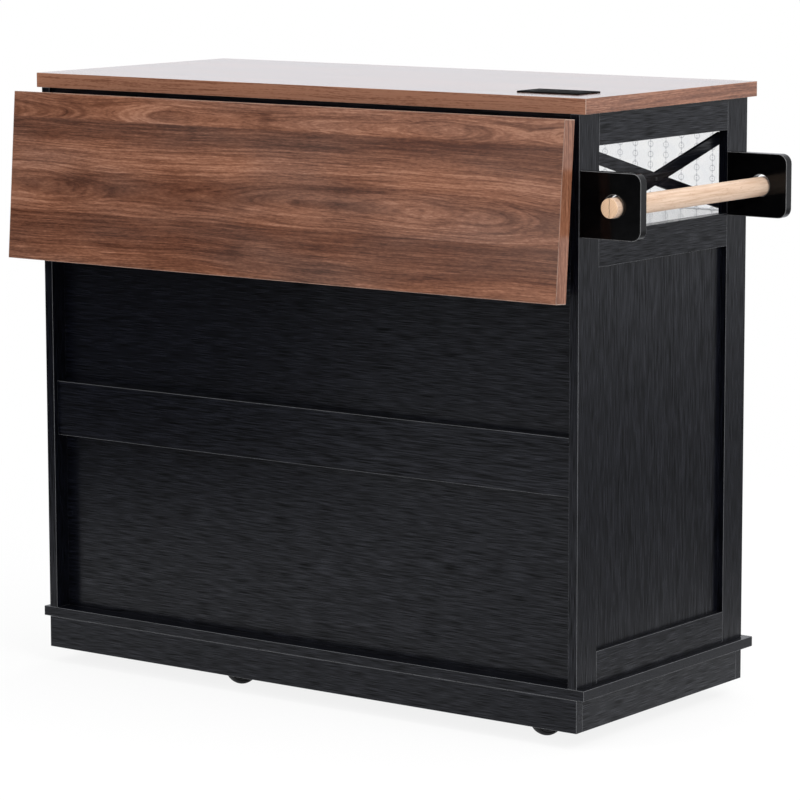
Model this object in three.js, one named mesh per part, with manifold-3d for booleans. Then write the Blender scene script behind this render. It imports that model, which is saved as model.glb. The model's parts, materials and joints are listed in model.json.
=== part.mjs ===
// Drop leaf kitchen island on casters, in millimetres, +Z up.
//
// Model directions: the cabinet's length runs along X with the towel rack on the -X end, the glass
// panes and doors face -Y, and the drop leaf hangs on the +Y side. While the island is being built,
// the origin is on the floor under the middle of the cabinet body's two ends and of the worktop's
// depth. At the end the whole island is moved so that the origin is the bottom centre of its box.

import * as THREE from "three";
import { mergeVertices } from "three/addons/utils/BufferGeometryUtils.js";
import Module from "manifold-3d";

const wasm = await Module();
wasm.setup();

// ---------------------------------------------------------------------------------------------
// Driving dimensions
// ---------------------------------------------------------------------------------------------

// Whole island
const totalHeight = 917; // floor to the top of the worktop
const bodyLength = 986; // outer face of one end frame to the outer face of the other
const bodyDepth = 442; // front plane to rear plane of the cabinet body

// Worktop
const worktopThickness = 22;
const worktopEndOverhang = 10;
const worktopFrontOverhang = 10;

// Boards
const arris = 0.7; // small chamfer on every board's edges
const frameThickness = 15; // stiles and rails of the end frames
const panelRecess = 9; // how far the lower end panels lie behind their frames
const shelfThickness = 15;
const dividerThickness = 15;

// End frames
const rearStileWidth = 50;
const frontStileWidth = 54;
const topRailWidth = 46;
const windowHeight = 121.5; // open side window with the cross
const midRailWidth = 48;
const bottomRailWidth = 47;

// Crossed bars in each side window
const crossBarWidth = 17;
const crossBarThickness = 6;
const crossBarAngle = 15.2; // degrees from level
const crossBarRise = 1.3; // window's middle up to where the bars cross
const crossBarFixing = 8; // length of each bar end fixed behind its stile
const crossLapGap = 0.3; // between the two halves of the lap

// Base: a board with a lip all round except at the back, over a plinth of four boards
const baseBoardThickness = 15;
const baseBoardEndLip = 12;
const baseBoardFrontLip = 12;
const plinthHeight = 48;
const plinthThickness = 15;
const plinthFloorGap = 24.5;

// Back: a full sheet behind two rails
const backSheetThickness = 5;
const backRailRecess = 8; // rails' faces behind the rear plane
const backRailThickness = 20;
const backTopRailWidth = 120; // carries the leaf brackets
const backMidRailWidth = 84;
const backMidRailDrop = 474; // worktop's top to this rail's top edge

// Inside
const dividerFromRackEnd = 640; // outer face of the rack end to the divider's middle
const innerShelfRise = 28.5; // back mid rail's lower edge to the underside of the inner shelf
const innerShelfSetback = 30; // behind the doors' inner faces

// Sliding glass
const trackRailDepth = 40;
const paneThickness = 4;
const paneSpacing = 10; // middle of one pane to the middle of the other
const frontPaneSetback = 16; // front plane to the middle of the front pane
const paneOverlap = 24;
const paneEndClearance = 1;
const grooveClearance = 0.3; // under a pane, and on each of its faces
const lowerGrooveDepth = 4;
const upperGrooveDepth = 10; // deep enough to lift a pane out of the lower groove
const paneTopEngagement = 5;
const fingerHoleRadius = 12;
const fingerHoleInset = 34; // from the pane's outer end to the hole's middle
const fingerHoleRise = 25; // middle shelf's top to the hole's middle

// Doors
const doorThickness = 15;
const doorGap = 2;
const doorFrameWidth = 56;
const doorPanelRecess = 5;
const pivotPinRadius = 2;
const pivotPinInset = 4; // from the door's edge, and from its face
const pivotPinLength = 6;
const pinClearance = 0.3;
const knobRadius = 14;
const knobProjection = 24;
const knobStemRadius = 5.5;
const knobFootRadius = 7.5;
const knobFootHeight = 3;
const knobHeadThickness = 9;
const knobRound = 2; // rounding on the knob's front edge
const knobFromEdge = doorFrameWidth / 2;
const knobDrop = 90; // door's top edge to the knob's middle

// Towel rack
const rackPlateReach = 100;
const rackPlateHeight = 93;
const rackPlateThickness = 15;
const rackPlateCornerRadius = 14;
const rackPlateDrop = 99; // worktop's top to the plates' top edge
const rackRearPlateInset = 1; // rear plane to the rear plate's rear face
const rackFrontPlateInset = 40; // front plane to the front plate's front face
const dowelRadius = 14;
const dowelHoleRadius = 16;
const dowelReach = 56; // outer face of the end frame to the dowel's axis
const dowelProjection = 11; // past each plate
const dowelClearance = 0.3; // at the bottom of the holes

// Power outlet in the worktop
const outletLength = 105;
const outletWidth = 58;
const outletFlangeHeight = 2; // above the worktop
const outletFlangeLip = 4;
const outletDepth = 38; // worktop's top to the underside of the box
const outletFromRackEnd = 50; // worktop's end to the flange
const outletFromRear = 56; // worktop's rear edge to the flange
const outletCutClearance = 0.5; // all round the box
const outletRebateDepth = 1.5; // the flange is let into the worktop by this much
const outletRebateClearance = 0.3; // all round the flange
const outletInletRadius = 5;
const outletInletDepth = 8;
const outletInletRise = 9; // underside of the box to the inlet's middle

// Drop leaf
const leafWidth = 253;
const leafThickness = 24;
const leafGap = 1.5; // between the leaf and the worktop when it is raised
const leafSwing = 85.5; // degrees from hanging to level
const leafPivotOut = 12.4; // pivot outboard of the worktop's rear edge
const leafPivotDrop = 38.9; // pivot below the worktop's top

// Leaf brackets
const bracketFromEnd = 163; // outer face of each end frame to the middle of the nearer bracket
const bracketWidth = 40;
const bracketPlateThickness = 2.5;
const bracketPlateTop = 26; // worktop's top to the plate's top edge
const bracketTail = 14; // plate and ears below the stay's pin
const earThickness = 2.5;
const earSpread = 27; // between the inner faces of the two ears
const earRadius = 9;
const leafPinRadius = 3;
const armOuterWidth = 25;
const armWall = 2;
const armDepth = 20;
const armLength = 240;
const armPinHoleRadius = leafPinRadius + pinClearance;
const stayLength = 140;
const stayPivotBelow = 85; // below the leaf's pivot
const stayPivotInboard = 6; // nearer the cabinet than the leaf's pivot
const stayWidth = 12;
const stayThickness = 8;
const stayPinRadius = 2.5;

// Casters
const wheelRadius = 25;
const wheelWidth = 20;
const wheelAxleRadius = 3;
const wheelSides = 24;
const wheelTreadDepth = 6;
const wheelDish = 3; // how far the sides are sunk inside the tread
const wheelTreadRound = 3;
const casterTrail = 18;
const forkPlateThickness = 3;
const forkLegThickness = 2.5;
const forkClearance = 1.5; // between the wheel and each leg
const forkHeadRadius = 17;
const forkBackReach = 8.5; // swivel axis to the back of the legs
const forkFrontReach = 4; // wheel axle to the front of the legs at their top
const forkLegHalfWidth = 8;
const casterStemRadius = 5;
const casterStemLength = 12;
const casterFromEnd = 80; // end frame's outer face to the swivel axis
const casterFromRear = 73;
const casterFromFront = 73;
const casterHeadGap = 0.3;

// Places of the casters: which column, which row, and where each wheel has swung round to
const casterColumns = ["rack", "middle", "far"];
const casterRows = ["rear", "front"];
const casterHeadings = { // degrees, from +X towards +Y, the way each wheel trails
  rack_rear: 62, middle_rear: 62, far_rear: 235,
  rack_front: 200, middle_front: 160, far_front: 300,
};

// ---------------------------------------------------------------------------------------------
// Planes and levels worked out from them
// ---------------------------------------------------------------------------------------------

const worktopLength = bodyLength + 2 * worktopEndOverhang;
const worktopDepth = bodyDepth + worktopFrontOverhang;
const rearPlane = worktopDepth / 2;
const frontPlane = rearPlane - bodyDepth;
const endPlane = bodyLength / 2;
const innerEnd = endPlane - frameThickness;

const worktopUnderside = totalHeight - worktopThickness;
const windowTop = worktopUnderside - topRailWidth;
const windowBottom = windowTop - windowHeight; // also the top of the middle shelf
const midRailBottom = windowBottom - midRailWidth;
const plinthTop = plinthFloorGap + plinthHeight;
const baseTop = plinthTop + baseBoardThickness;
const bottomRailTop = baseTop + bottomRailWidth;
const shelfUnderside = windowBottom - shelfThickness;

const backRailFace = rearPlane - backRailRecess;
const backSheetFace = backRailFace - backRailThickness;
const insideBack = backSheetFace - backSheetThickness;
const doorInside = frontPlane + doorThickness;
const dividerMiddle = -endPlane + dividerFromRackEnd;

// ---------------------------------------------------------------------------------------------
// Finishes
// ---------------------------------------------------------------------------------------------

const finish = (color, roughness, metalness = 0) =>
  new THREE.MeshStandardMaterial({ color, roughness, metalness });
const finishes = {
  blackBoard: finish(0x1d1f23, 0.55),
  walnut: finish(0x7a4a33, 0.4),
  gloss: finish(0x0c0c0e, 0.2),
  beech: finish(0xd9b07f, 0.5),
  glass: new THREE.MeshStandardMaterial({
    color: 0xe9edf2, roughness: 0.3, transparent: true, opacity: 0.6 }),
  steel: finish(0x2a2b2d, 0.45, 0.8),
  plastic: finish(0x101012, 0.35),
  wheel: finish(0x161617, 0.5),
};

// ---------------------------------------------------------------------------------------------
// Tools for making solids
// ---------------------------------------------------------------------------------------------

const island = new THREE.Group();

/** Turns a closed geometry into a solid that can be cut or joined. */
function solid(geometry) {
  const bare = geometry.clone();
  bare.deleteAttribute("normal");
  bare.deleteAttribute("uv");
  const merged = mergeVertices(bare, 1e-4);
  return new wasm.Manifold(new wasm.Mesh({
    numProp: 3,
    vertProperties: new Float32Array(merged.attributes.position.array),
    triVerts: new Uint32Array(merged.index.array),
  }));
}

/** Turns a solid back into a geometry. */
function geometryOf(manifold) {
  const mesh = manifold.getMesh();
  const geometry = new THREE.BufferGeometry();
  geometry.setAttribute("position", new THREE.BufferAttribute(mesh.vertProperties, 3));
  geometry.setIndex(new THREE.BufferAttribute(mesh.triVerts, 1));
  geometry.computeVertexNormals();
  return geometry;
}

/** Joins geometries, then cuts others away. */
function shaped(joined, cuts = []) {
  let body = solid(joined[0]);
  for (const piece of joined.slice(1)) body = body.add(solid(piece));
  for (const cut of cuts) body = body.subtract(solid(cut));
  return geometryOf(body);
}

/** A plain box between two corners. */
function boxBetween(low, high) {
  const size = high.map((value, axis) => value - low[axis]);
  const middle = high.map((value, axis) => (value + low[axis]) / 2);
  return new THREE.BoxGeometry(...size).translate(...middle);
}

/** A board between two corners, with an arris on all twelve edges. */
function board(low, high, edge = arris) {
  const points = [];
  for (const sx of [0, 1]) for (const sy of [0, 1]) for (const sz of [0, 1]) {
    const corner = [sx ? high[0] : low[0], sy ? high[1] : low[1], sz ? high[2] : low[2]];
    const inward = [sx ? -edge : edge, sy ? -edge : edge, sz ? -edge : edge];
    for (const flush of [0, 1, 2]) {
      points.push(new THREE.Vector3(
        ...corner.map((value, axis) => (axis === flush ? value : value + inward[axis]))));
    }
  }
  return hullOf(points);
}

/** The convex hull of a board's 24 arris points: six faces, twelve arrises and eight corners. */
function hullOf(points) {
  const at = (sx, sy, sz, flush) => 3 * (4 * sx + 2 * sy + sz) + flush;
  const faces = [];
  const addFace = (loop) => {
    const [a, b, c] = loop.slice(0, 3).map((index) => points[index]);
    const middle = points[0].clone().add(points[points.length - 1]).multiplyScalar(0.5);
    const normal = b.clone().sub(a).cross(c.clone().sub(a));
    const outward = normal.dot(a.clone().sub(middle)) > 0;
    const ring = outward ? loop : [...loop].reverse();
    for (let i = 1; i < ring.length - 1; i += 1) faces.push(ring[0], ring[i], ring[i + 1]);
  };
  const square = [[0, 0], [1, 0], [1, 1], [0, 1]];
  for (const side of [0, 1]) {
    addFace(square.map(([u, v]) => at(side, u, v, 0)));
    addFace(square.map(([u, v]) => at(u, side, v, 1)));
    addFace(square.map(([u, v]) => at(u, v, side, 2)));
  }
  for (const [u, v] of square) {
    addFace([at(0, u, v, 1), at(1, u, v, 1), at(1, u, v, 2), at(0, u, v, 2)]);
    addFace([at(u, 0, v, 0), at(u, 1, v, 0), at(u, 1, v, 2), at(u, 0, v, 2)]);
    addFace([at(u, v, 0, 0), at(u, v, 1, 0), at(u, v, 1, 1), at(u, v, 0, 1)]);
    for (const w of [0, 1]) addFace([at(u, v, w, 0), at(u, v, w, 1), at(u, v, w, 2)]);
  }
  const geometry = new THREE.BufferGeometry().setFromPoints(points);
  geometry.setIndex(faces);
  return geometry;
}

/** A round bar along Z, from one level to another. */
function roundBar(radius, from, to, sides = 32) {
  return new THREE.CylinderGeometry(radius, radius, to - from, sides)
    .rotateX(Math.PI / 2).translate(0, 0, (from + to) / 2);
}

/** A solid turned about Z from radius and height pairs that start and end on the axis. */
function turned(profile, sides = 32) {
  return new THREE.LatheGeometry(profile.map(([r, z]) => new THREE.Vector2(r, z)), sides)
    .rotateX(Math.PI / 2);
}

/** A flat shape made solid along Z, with no bevel. */
function slab(shape, depth, curveSegments = 12) {
  return new THREE.ExtrudeGeometry(shape, { depth, bevelEnabled: false, curveSegments });
}

/** Adds one named piece to a group. */
function piece(name, geometry, material, parent = island) {
  const mesh = new THREE.Mesh(geometry, material);
  mesh.name = name;
  parent.add(mesh);
  return mesh;
}

const degrees = THREE.MathUtils.degToRad;

// ---------------------------------------------------------------------------------------------
// Worktop and power outlet
// ---------------------------------------------------------------------------------------------

const worktopEnd = worktopLength / 2;
const outletLow = [-worktopEnd + outletFromRackEnd, rearPlane - outletFromRear - outletWidth];
const outletHigh = [outletLow[0] + outletLength, outletLow[1] + outletWidth];

{
  const cutTo = (inset, bottom) => boxBetween(
    [outletLow[0] + inset, outletLow[1] + inset, bottom],
    [outletHigh[0] - inset, outletHigh[1] - inset, totalHeight + 1]);
  const cut = cutTo(outletFlangeLip - outletCutClearance, worktopUnderside - 1);
  const rebate = cutTo(-outletRebateClearance, totalHeight - outletRebateDepth);
  const top = board(
    [-worktopEnd, -worktopDepth / 2, worktopUnderside],
    [worktopEnd, rearPlane, totalHeight]);
  piece("worktop", shaped([top], [cut, rebate]), finishes.walnut);
}

{
  const flange = board(
    [...outletLow, totalHeight - outletRebateDepth],
    [...outletHigh, totalHeight + outletFlangeHeight], 0.6);
  const box = boxBetween(
    [outletLow[0] + outletFlangeLip, outletLow[1] + outletFlangeLip, totalHeight - outletDepth],
    [outletHigh[0] - outletFlangeLip, outletHigh[1] - outletFlangeLip, totalHeight]);
  const inlet = roundBar(outletInletRadius, -outletInletDepth, outletInletDepth, 20)
    .rotateX(Math.PI / 2).translate(
      (outletLow[0] + outletHigh[0]) / 2, outletLow[1] + outletFlangeLip,
      totalHeight - outletDepth + outletInletRise);
  piece("outlet_module", shaped([flange, box], [inlet]), finishes.plastic);
}

// ---------------------------------------------------------------------------------------------
// End frames, each with its lower panel and its crossed bars
// ---------------------------------------------------------------------------------------------

/** The two half-lapped bars of one side window. `inward` is +1 on the rack end, -1 on the far end. */
function crossBars(endName, inward) {
  const windowRear = rearPlane - rearStileWidth;
  const windowFront = frontPlane + frontStileWidth;
  const middle = new THREE.Vector3(
    -inward * (innerEnd - crossBarThickness / 2),
    (windowRear + windowFront) / 2,
    (windowTop + windowBottom) / 2 + crossBarRise);
  const run = windowRear - windowFront + 2 * crossBarFixing;
  const placed = (length, width, thickness, slope) => board(
    [-thickness / 2, -length / 2, -width / 2], [thickness / 2, length / 2, width / 2], 0.4)
    .rotateX(degrees(slope * crossBarAngle))
    .translate(middle.x, middle.y, middle.z);
  for (const [slope, barName] of [[1, "falling"], [-1, "rising"]]) {
    // The falling bar goes down towards the front. Each bar keeps one half of the lap.
    const length = (run - 2 * arris) / Math.cos(degrees(crossBarAngle));
    const keepsOuterHalf = slope < 0;
    const lapSide = (keepsOuterHalf ? 1 : -1) * inward;
    const lapFace = middle.x - lapSide * crossLapGap / 2;
    const far = middle.x + lapSide * crossBarThickness;
    const lap = placed(length, crossBarWidth + 1, crossBarThickness * 3, -slope);
    const keep = boxBetween(
      [Math.min(lapFace, far), middle.y - run, middle.z - run],
      [Math.max(lapFace, far), middle.y + run, middle.z + run]);
    const lapPocket = geometryOf(solid(lap).intersect(solid(keep)));
    const bar = placed(length, crossBarWidth, crossBarThickness, slope);
    piece(`${endName}_cross_bar_${barName}`, shaped([bar], [lapPocket]), finishes.blackBoard);
  }
}

/** One end frame. `inward` is +1 on the rack end, which is at -X, and -1 on the far end. */
function endFrame(endName, inward) {
  const member = (name, rear, front, top, bottom, recess = 0) => {
    const outer = -inward * (endPlane - recess);
    const inner = -inward * innerEnd;
    piece(`${endName}_${name}`, board(
      [Math.min(outer, inner), front, bottom],
      [Math.max(outer, inner), rear, top]), finishes.blackBoard);
  };
  const betweenRear = rearPlane - rearStileWidth;
  const betweenFront = frontPlane + frontStileWidth;
  member("rear_stile", rearPlane, betweenRear, worktopUnderside, baseTop);
  member("front_stile", betweenFront, frontPlane, worktopUnderside, baseTop);
  member("top_rail", betweenRear, betweenFront, worktopUnderside, windowTop);
  member("mid_rail", betweenRear, betweenFront, windowBottom, midRailBottom);
  member("bottom_rail", betweenRear, betweenFront, bottomRailTop, baseTop);
  member("lower_panel", betweenRear, betweenFront, midRailBottom, bottomRailTop, panelRecess);
  crossBars(endName, inward);
}

endFrame("rack_end", 1);
endFrame("far_end", -1);

// ---------------------------------------------------------------------------------------------
// Carcass boards
// ---------------------------------------------------------------------------------------------

const hingeEdges = [
  // Where each door's pivot pins stand: the door's name, its hinged edge and its free edge
  ["rack_door", -innerEnd, (-innerEnd + dividerMiddle - dividerThickness / 2) / 2 - doorGap / 2],
  ["middle_door", dividerMiddle - dividerThickness / 2,
    (-innerEnd + dividerMiddle - dividerThickness / 2) / 2 + doorGap / 2],
  ["far_door", innerEnd, dividerMiddle + dividerThickness / 2 + doorGap],
];
const pivotY = frontPlane + pivotPinInset;
const pivotX = (hinged, free) => hinged + Math.sign(free - hinged) * (doorGap + pivotPinInset);
const socketRadius = pivotPinRadius + pinClearance;
const socketDepth = pivotPinLength + pinClearance - doorGap;

const casterX = {
  rack: -endPlane + casterFromEnd,
  middle: dividerMiddle,
  far: endPlane - casterFromEnd,
};
const casterY = { rear: rearPlane - casterFromRear, front: frontPlane + casterFromFront };

{
  const sockets = hingeEdges.map(([, hinged, free]) =>
    roundBar(socketRadius, baseTop - socketDepth, baseTop + 1, 12)
      .translate(pivotX(hinged, free), pivotY, 0));
  const stems = casterColumns.flatMap((column) => casterRows.map((row) =>
    roundBar(casterStemRadius + pinClearance, plinthTop - 1, plinthTop + casterStemLength, 16)
      .translate(casterX[column], casterY[row], 0)));
  const base = board(
    [-endPlane - baseBoardEndLip, frontPlane - baseBoardFrontLip, plinthTop],
    [endPlane + baseBoardEndLip, rearPlane, baseTop]);
  piece("base_board", shaped([base], [...sockets, ...stems]), finishes.blackBoard);
}

const plinthInnerEnd = endPlane - plinthThickness;
for (const [name, low, high] of [
  ["plinth_rear", [-endPlane, rearPlane - plinthThickness], [endPlane, rearPlane]],
  ["plinth_front", [-endPlane, frontPlane], [endPlane, frontPlane + plinthThickness]],
  ["plinth_rack_end", [-endPlane, frontPlane + plinthThickness],
    [-plinthInnerEnd, rearPlane - plinthThickness]],
  ["plinth_far_end", [plinthInnerEnd, frontPlane + plinthThickness],
    [endPlane, rearPlane - plinthThickness]],
]) {
  piece(name, board([...low, plinthFloorGap], [...high, plinthTop]), finishes.blackBoard);
}

const paneMiddles = [frontPlane + frontPaneSetback, frontPlane + frontPaneSetback + paneSpacing];
const grooveHalf = paneThickness / 2 + grooveClearance;

{
  const grooves = paneMiddles.map((y) => boxBetween(
    [-innerEnd - 1, y - grooveHalf, windowBottom - lowerGrooveDepth],
    [innerEnd + 1, y + grooveHalf, windowBottom + 1]));
  const sockets = hingeEdges.map(([, hinged, free]) =>
    roundBar(socketRadius, shelfUnderside - 1, shelfUnderside + socketDepth, 12)
      .translate(pivotX(hinged, free), pivotY, 0));
  const shelf = board([-innerEnd, frontPlane, shelfUnderside], [innerEnd, insideBack, windowBottom]);
  piece("middle_shelf", shaped([shelf], [...grooves, ...sockets]), finishes.blackBoard);
}

{
  const grooves = paneMiddles.map((y) => boxBetween(
    [-innerEnd - 1, y - grooveHalf, windowTop - 1],
    [innerEnd + 1, y + grooveHalf, windowTop + upperGrooveDepth]));
  const rail = board(
    [-innerEnd, frontPlane, windowTop], [innerEnd, frontPlane + trackRailDepth, worktopUnderside]);
  piece("front_track_rail", shaped([rail], grooves), finishes.blackBoard);
}

piece("divider", board(
  [dividerMiddle - dividerThickness / 2, frontPlane, baseTop],
  [dividerMiddle + dividerThickness / 2, insideBack, shelfUnderside]), finishes.blackBoard);

const backMidRailTop = totalHeight - backMidRailDrop;
const innerShelfBottom = backMidRailTop - backMidRailWidth + innerShelfRise;
piece("inner_shelf", board(
  [-innerEnd, doorInside + innerShelfSetback, innerShelfBottom],
  [dividerMiddle - dividerThickness / 2, insideBack, innerShelfBottom + shelfThickness]),
finishes.blackBoard);

piece("back_sheet", board(
  [-innerEnd, insideBack, baseTop], [innerEnd, backSheetFace, worktopUnderside], 0.4),
finishes.blackBoard);
for (const [name, top, width] of [
  ["back_top_rail", worktopUnderside, backTopRailWidth],
  ["back_mid_rail", backMidRailTop, backMidRailWidth],
]) {
  piece(name, board(
    [-innerEnd, backSheetFace, top - width], [innerEnd, backRailFace, top]), finishes.blackBoard);
}

// ---------------------------------------------------------------------------------------------
// Sliding glass panes
// ---------------------------------------------------------------------------------------------

{
  const clearLength = 2 * (innerEnd - paneEndClearance);
  const paneLength = (clearLength + paneOverlap) / 2;
  const paneBottom = windowBottom - lowerGrooveDepth + grooveClearance;
  const paneTop = windowTop + paneTopEngagement;
  for (const [name, side, y] of [
    ["front_glass_pane", -1, paneMiddles[0]],
    ["rear_glass_pane", 1, paneMiddles[1]],
  ]) {
    const outerEnd = side * clearLength / 2;
    const innerEdge = outerEnd - side * paneLength;
    const outline = new THREE.Shape([
      new THREE.Vector2(Math.min(outerEnd, innerEdge), paneBottom),
      new THREE.Vector2(Math.max(outerEnd, innerEdge), paneBottom),
      new THREE.Vector2(Math.max(outerEnd, innerEdge), paneTop),
      new THREE.Vector2(Math.min(outerEnd, innerEdge), paneTop),
    ]);
    const holeX = outerEnd - side * fingerHoleInset;
    outline.holes.push(new THREE.Path().absarc(
      holeX, windowBottom + fingerHoleRise, fingerHoleRadius, 0, 2 * Math.PI, true));
    const pane = slab(outline, paneThickness, 10).rotateX(Math.PI / 2)
      .translate(0, y + paneThickness / 2, 0);
    piece(name, pane, finishes.glass);
  }
}

// ---------------------------------------------------------------------------------------------
// Doors and knobs
// ---------------------------------------------------------------------------------------------

for (const [name, hinged, free] of hingeEdges) {
  const low = baseTop + doorGap;
  const high = shelfUnderside - doorGap;
  const hingeSide = hinged + Math.sign(free - hinged) * doorGap;
  const left = Math.min(hingeSide, free);
  const right = Math.max(hingeSide, free);
  const leaf = board([left, frontPlane, low], [right, doorInside, high]);
  const recess = boxBetween(
    [left + doorFrameWidth, frontPlane - 1, low + doorFrameWidth],
    [right - doorFrameWidth, frontPlane + doorPanelRecess, high - doorFrameWidth]);
  const pins = [[low - pivotPinLength + doorGap, low + 1], [high - 1, high + pivotPinLength - doorGap]]
    .map(([from, to]) => roundBar(pivotPinRadius, from, to, 12)
      .translate(pivotX(hinged, free), pivotY, 0));
  piece(name, shaped([leaf, ...pins], [recess]), finishes.blackBoard);

  const knobX = free + Math.sign(hinged - free) * knobFromEdge;
  const headStart = knobProjection - knobHeadThickness;
  const knob = turned([
    [0, 0], [knobFootRadius, 0], [knobStemRadius, knobFootHeight],
    [knobStemRadius, headStart - knobRound], [knobRadius, headStart + knobRound],
    [knobRadius, knobProjection - knobRound], [knobRadius - knobRound, knobProjection],
    [0, knobProjection],
  ], 20).rotateX(Math.PI / 2).translate(knobX, frontPlane, high - knobDrop);
  piece(`${name}_knob`, knob, finishes.steel);
}

// ---------------------------------------------------------------------------------------------
// Towel rack
// ---------------------------------------------------------------------------------------------

const dowelLevel = totalHeight - rackPlateDrop - rackPlateHeight / 2
  - (dowelHoleRadius - dowelRadius - dowelClearance);
const dowelAxisX = -endPlane - dowelReach;

/** A plate's outline, drawn with its fixed edge at x = 0 and its reach along +x. */
function rackPlateShape() {
  const half = rackPlateHeight / 2;
  const round = rackPlateCornerRadius;
  const shape = new THREE.Shape();
  shape.moveTo(0, -half);
  shape.lineTo(rackPlateReach - round, -half);
  shape.absarc(rackPlateReach - round, -half + round, round, -Math.PI / 2, 0, false);
  shape.absarc(rackPlateReach - round, half - round, round, 0, Math.PI / 2, false);
  shape.lineTo(0, half);
  shape.holes.push(new THREE.Path().absarc(dowelReach, 0, dowelHoleRadius, 0, 2 * Math.PI, true));
  return shape;
}

const rackPlateRearFaces = {
  rear: rearPlane - rackRearPlateInset,
  front: frontPlane + rackFrontPlateInset + rackPlateThickness,
};
for (const [row, rearFace] of Object.entries(rackPlateRearFaces)) {
  // The outline lies in X and Z and is turned to reach towards -X.
  const plate = slab(rackPlateShape(), rackPlateThickness, 12)
    .rotateX(Math.PI / 2).rotateZ(Math.PI)
    .translate(-endPlane, rearFace - rackPlateThickness,
      totalHeight - rackPlateDrop - rackPlateHeight / 2);
  piece(`rack_${row}_plate`, plate, finishes.gloss);
}

{
  const rear = rackPlateRearFaces.rear + dowelProjection;
  const front = rackPlateRearFaces.front - rackPlateThickness - dowelProjection;
  const chamfer = 1;
  const half = (rear - front) / 2;
  const dowel = turned([
    [0, -half], [dowelRadius - chamfer, -half], [dowelRadius, chamfer - half],
    [dowelRadius, half - chamfer], [dowelRadius - chamfer, half], [0, half],
  ], 32).rotateX(Math.PI / 2).translate(dowelAxisX, (rear + front) / 2, dowelLevel);
  piece("towel_dowel", dowel, finishes.beech);
}

// ---------------------------------------------------------------------------------------------
// Drop leaf with its brackets, drawn raised and swung down about its pivot
// ---------------------------------------------------------------------------------------------

const leafPivot = new THREE.Vector3(0, rearPlane + leafPivotOut, totalHeight - leafPivotDrop);
const hanging = new THREE.Group(); // its own origin is the leaf's pivot
hanging.position.copy(leafPivot);
hanging.rotation.x = degrees(-leafSwing);
island.add(hanging);

{
  const nearEdge = leafGap - leafPivotOut;
  piece("drop_leaf", board(
    [-worktopEnd, nearEdge, leafPivotDrop - leafThickness],
    [worktopEnd, nearEdge + leafWidth, leafPivotDrop]), finishes.walnut, hanging);
}

// The stay's free end runs along the arm's middle line, through the leaf's pivot. All of these are
// worked out in the plane across the pivots, with the leaf's pivot as origin.
const hangAngle = degrees(90 - leafSwing); // how far the hanging leaf leans out
const stayPivot = new THREE.Vector3(
  0, leafPivot.y - stayPivotInboard, leafPivot.z - stayPivotBelow);

/** Angle of the stay from straight down while the arm leans out by `lean` from straight down. */
function stayAngle(lean) {
  const along = stayPivotBelow * Math.cos(lean) - stayPivotInboard * Math.sin(lean);
  const across = stayPivotBelow * Math.sin(lean) + stayPivotInboard * Math.cos(lean);
  const reach = along + Math.sqrt(stayLength ** 2 - across ** 2);
  return Math.atan2(
    reach * Math.sin(lean) + stayPivotInboard, reach * Math.cos(lean) - stayPivotBelow);
}
const stayHangAngle = stayAngle(hangAngle);

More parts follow.
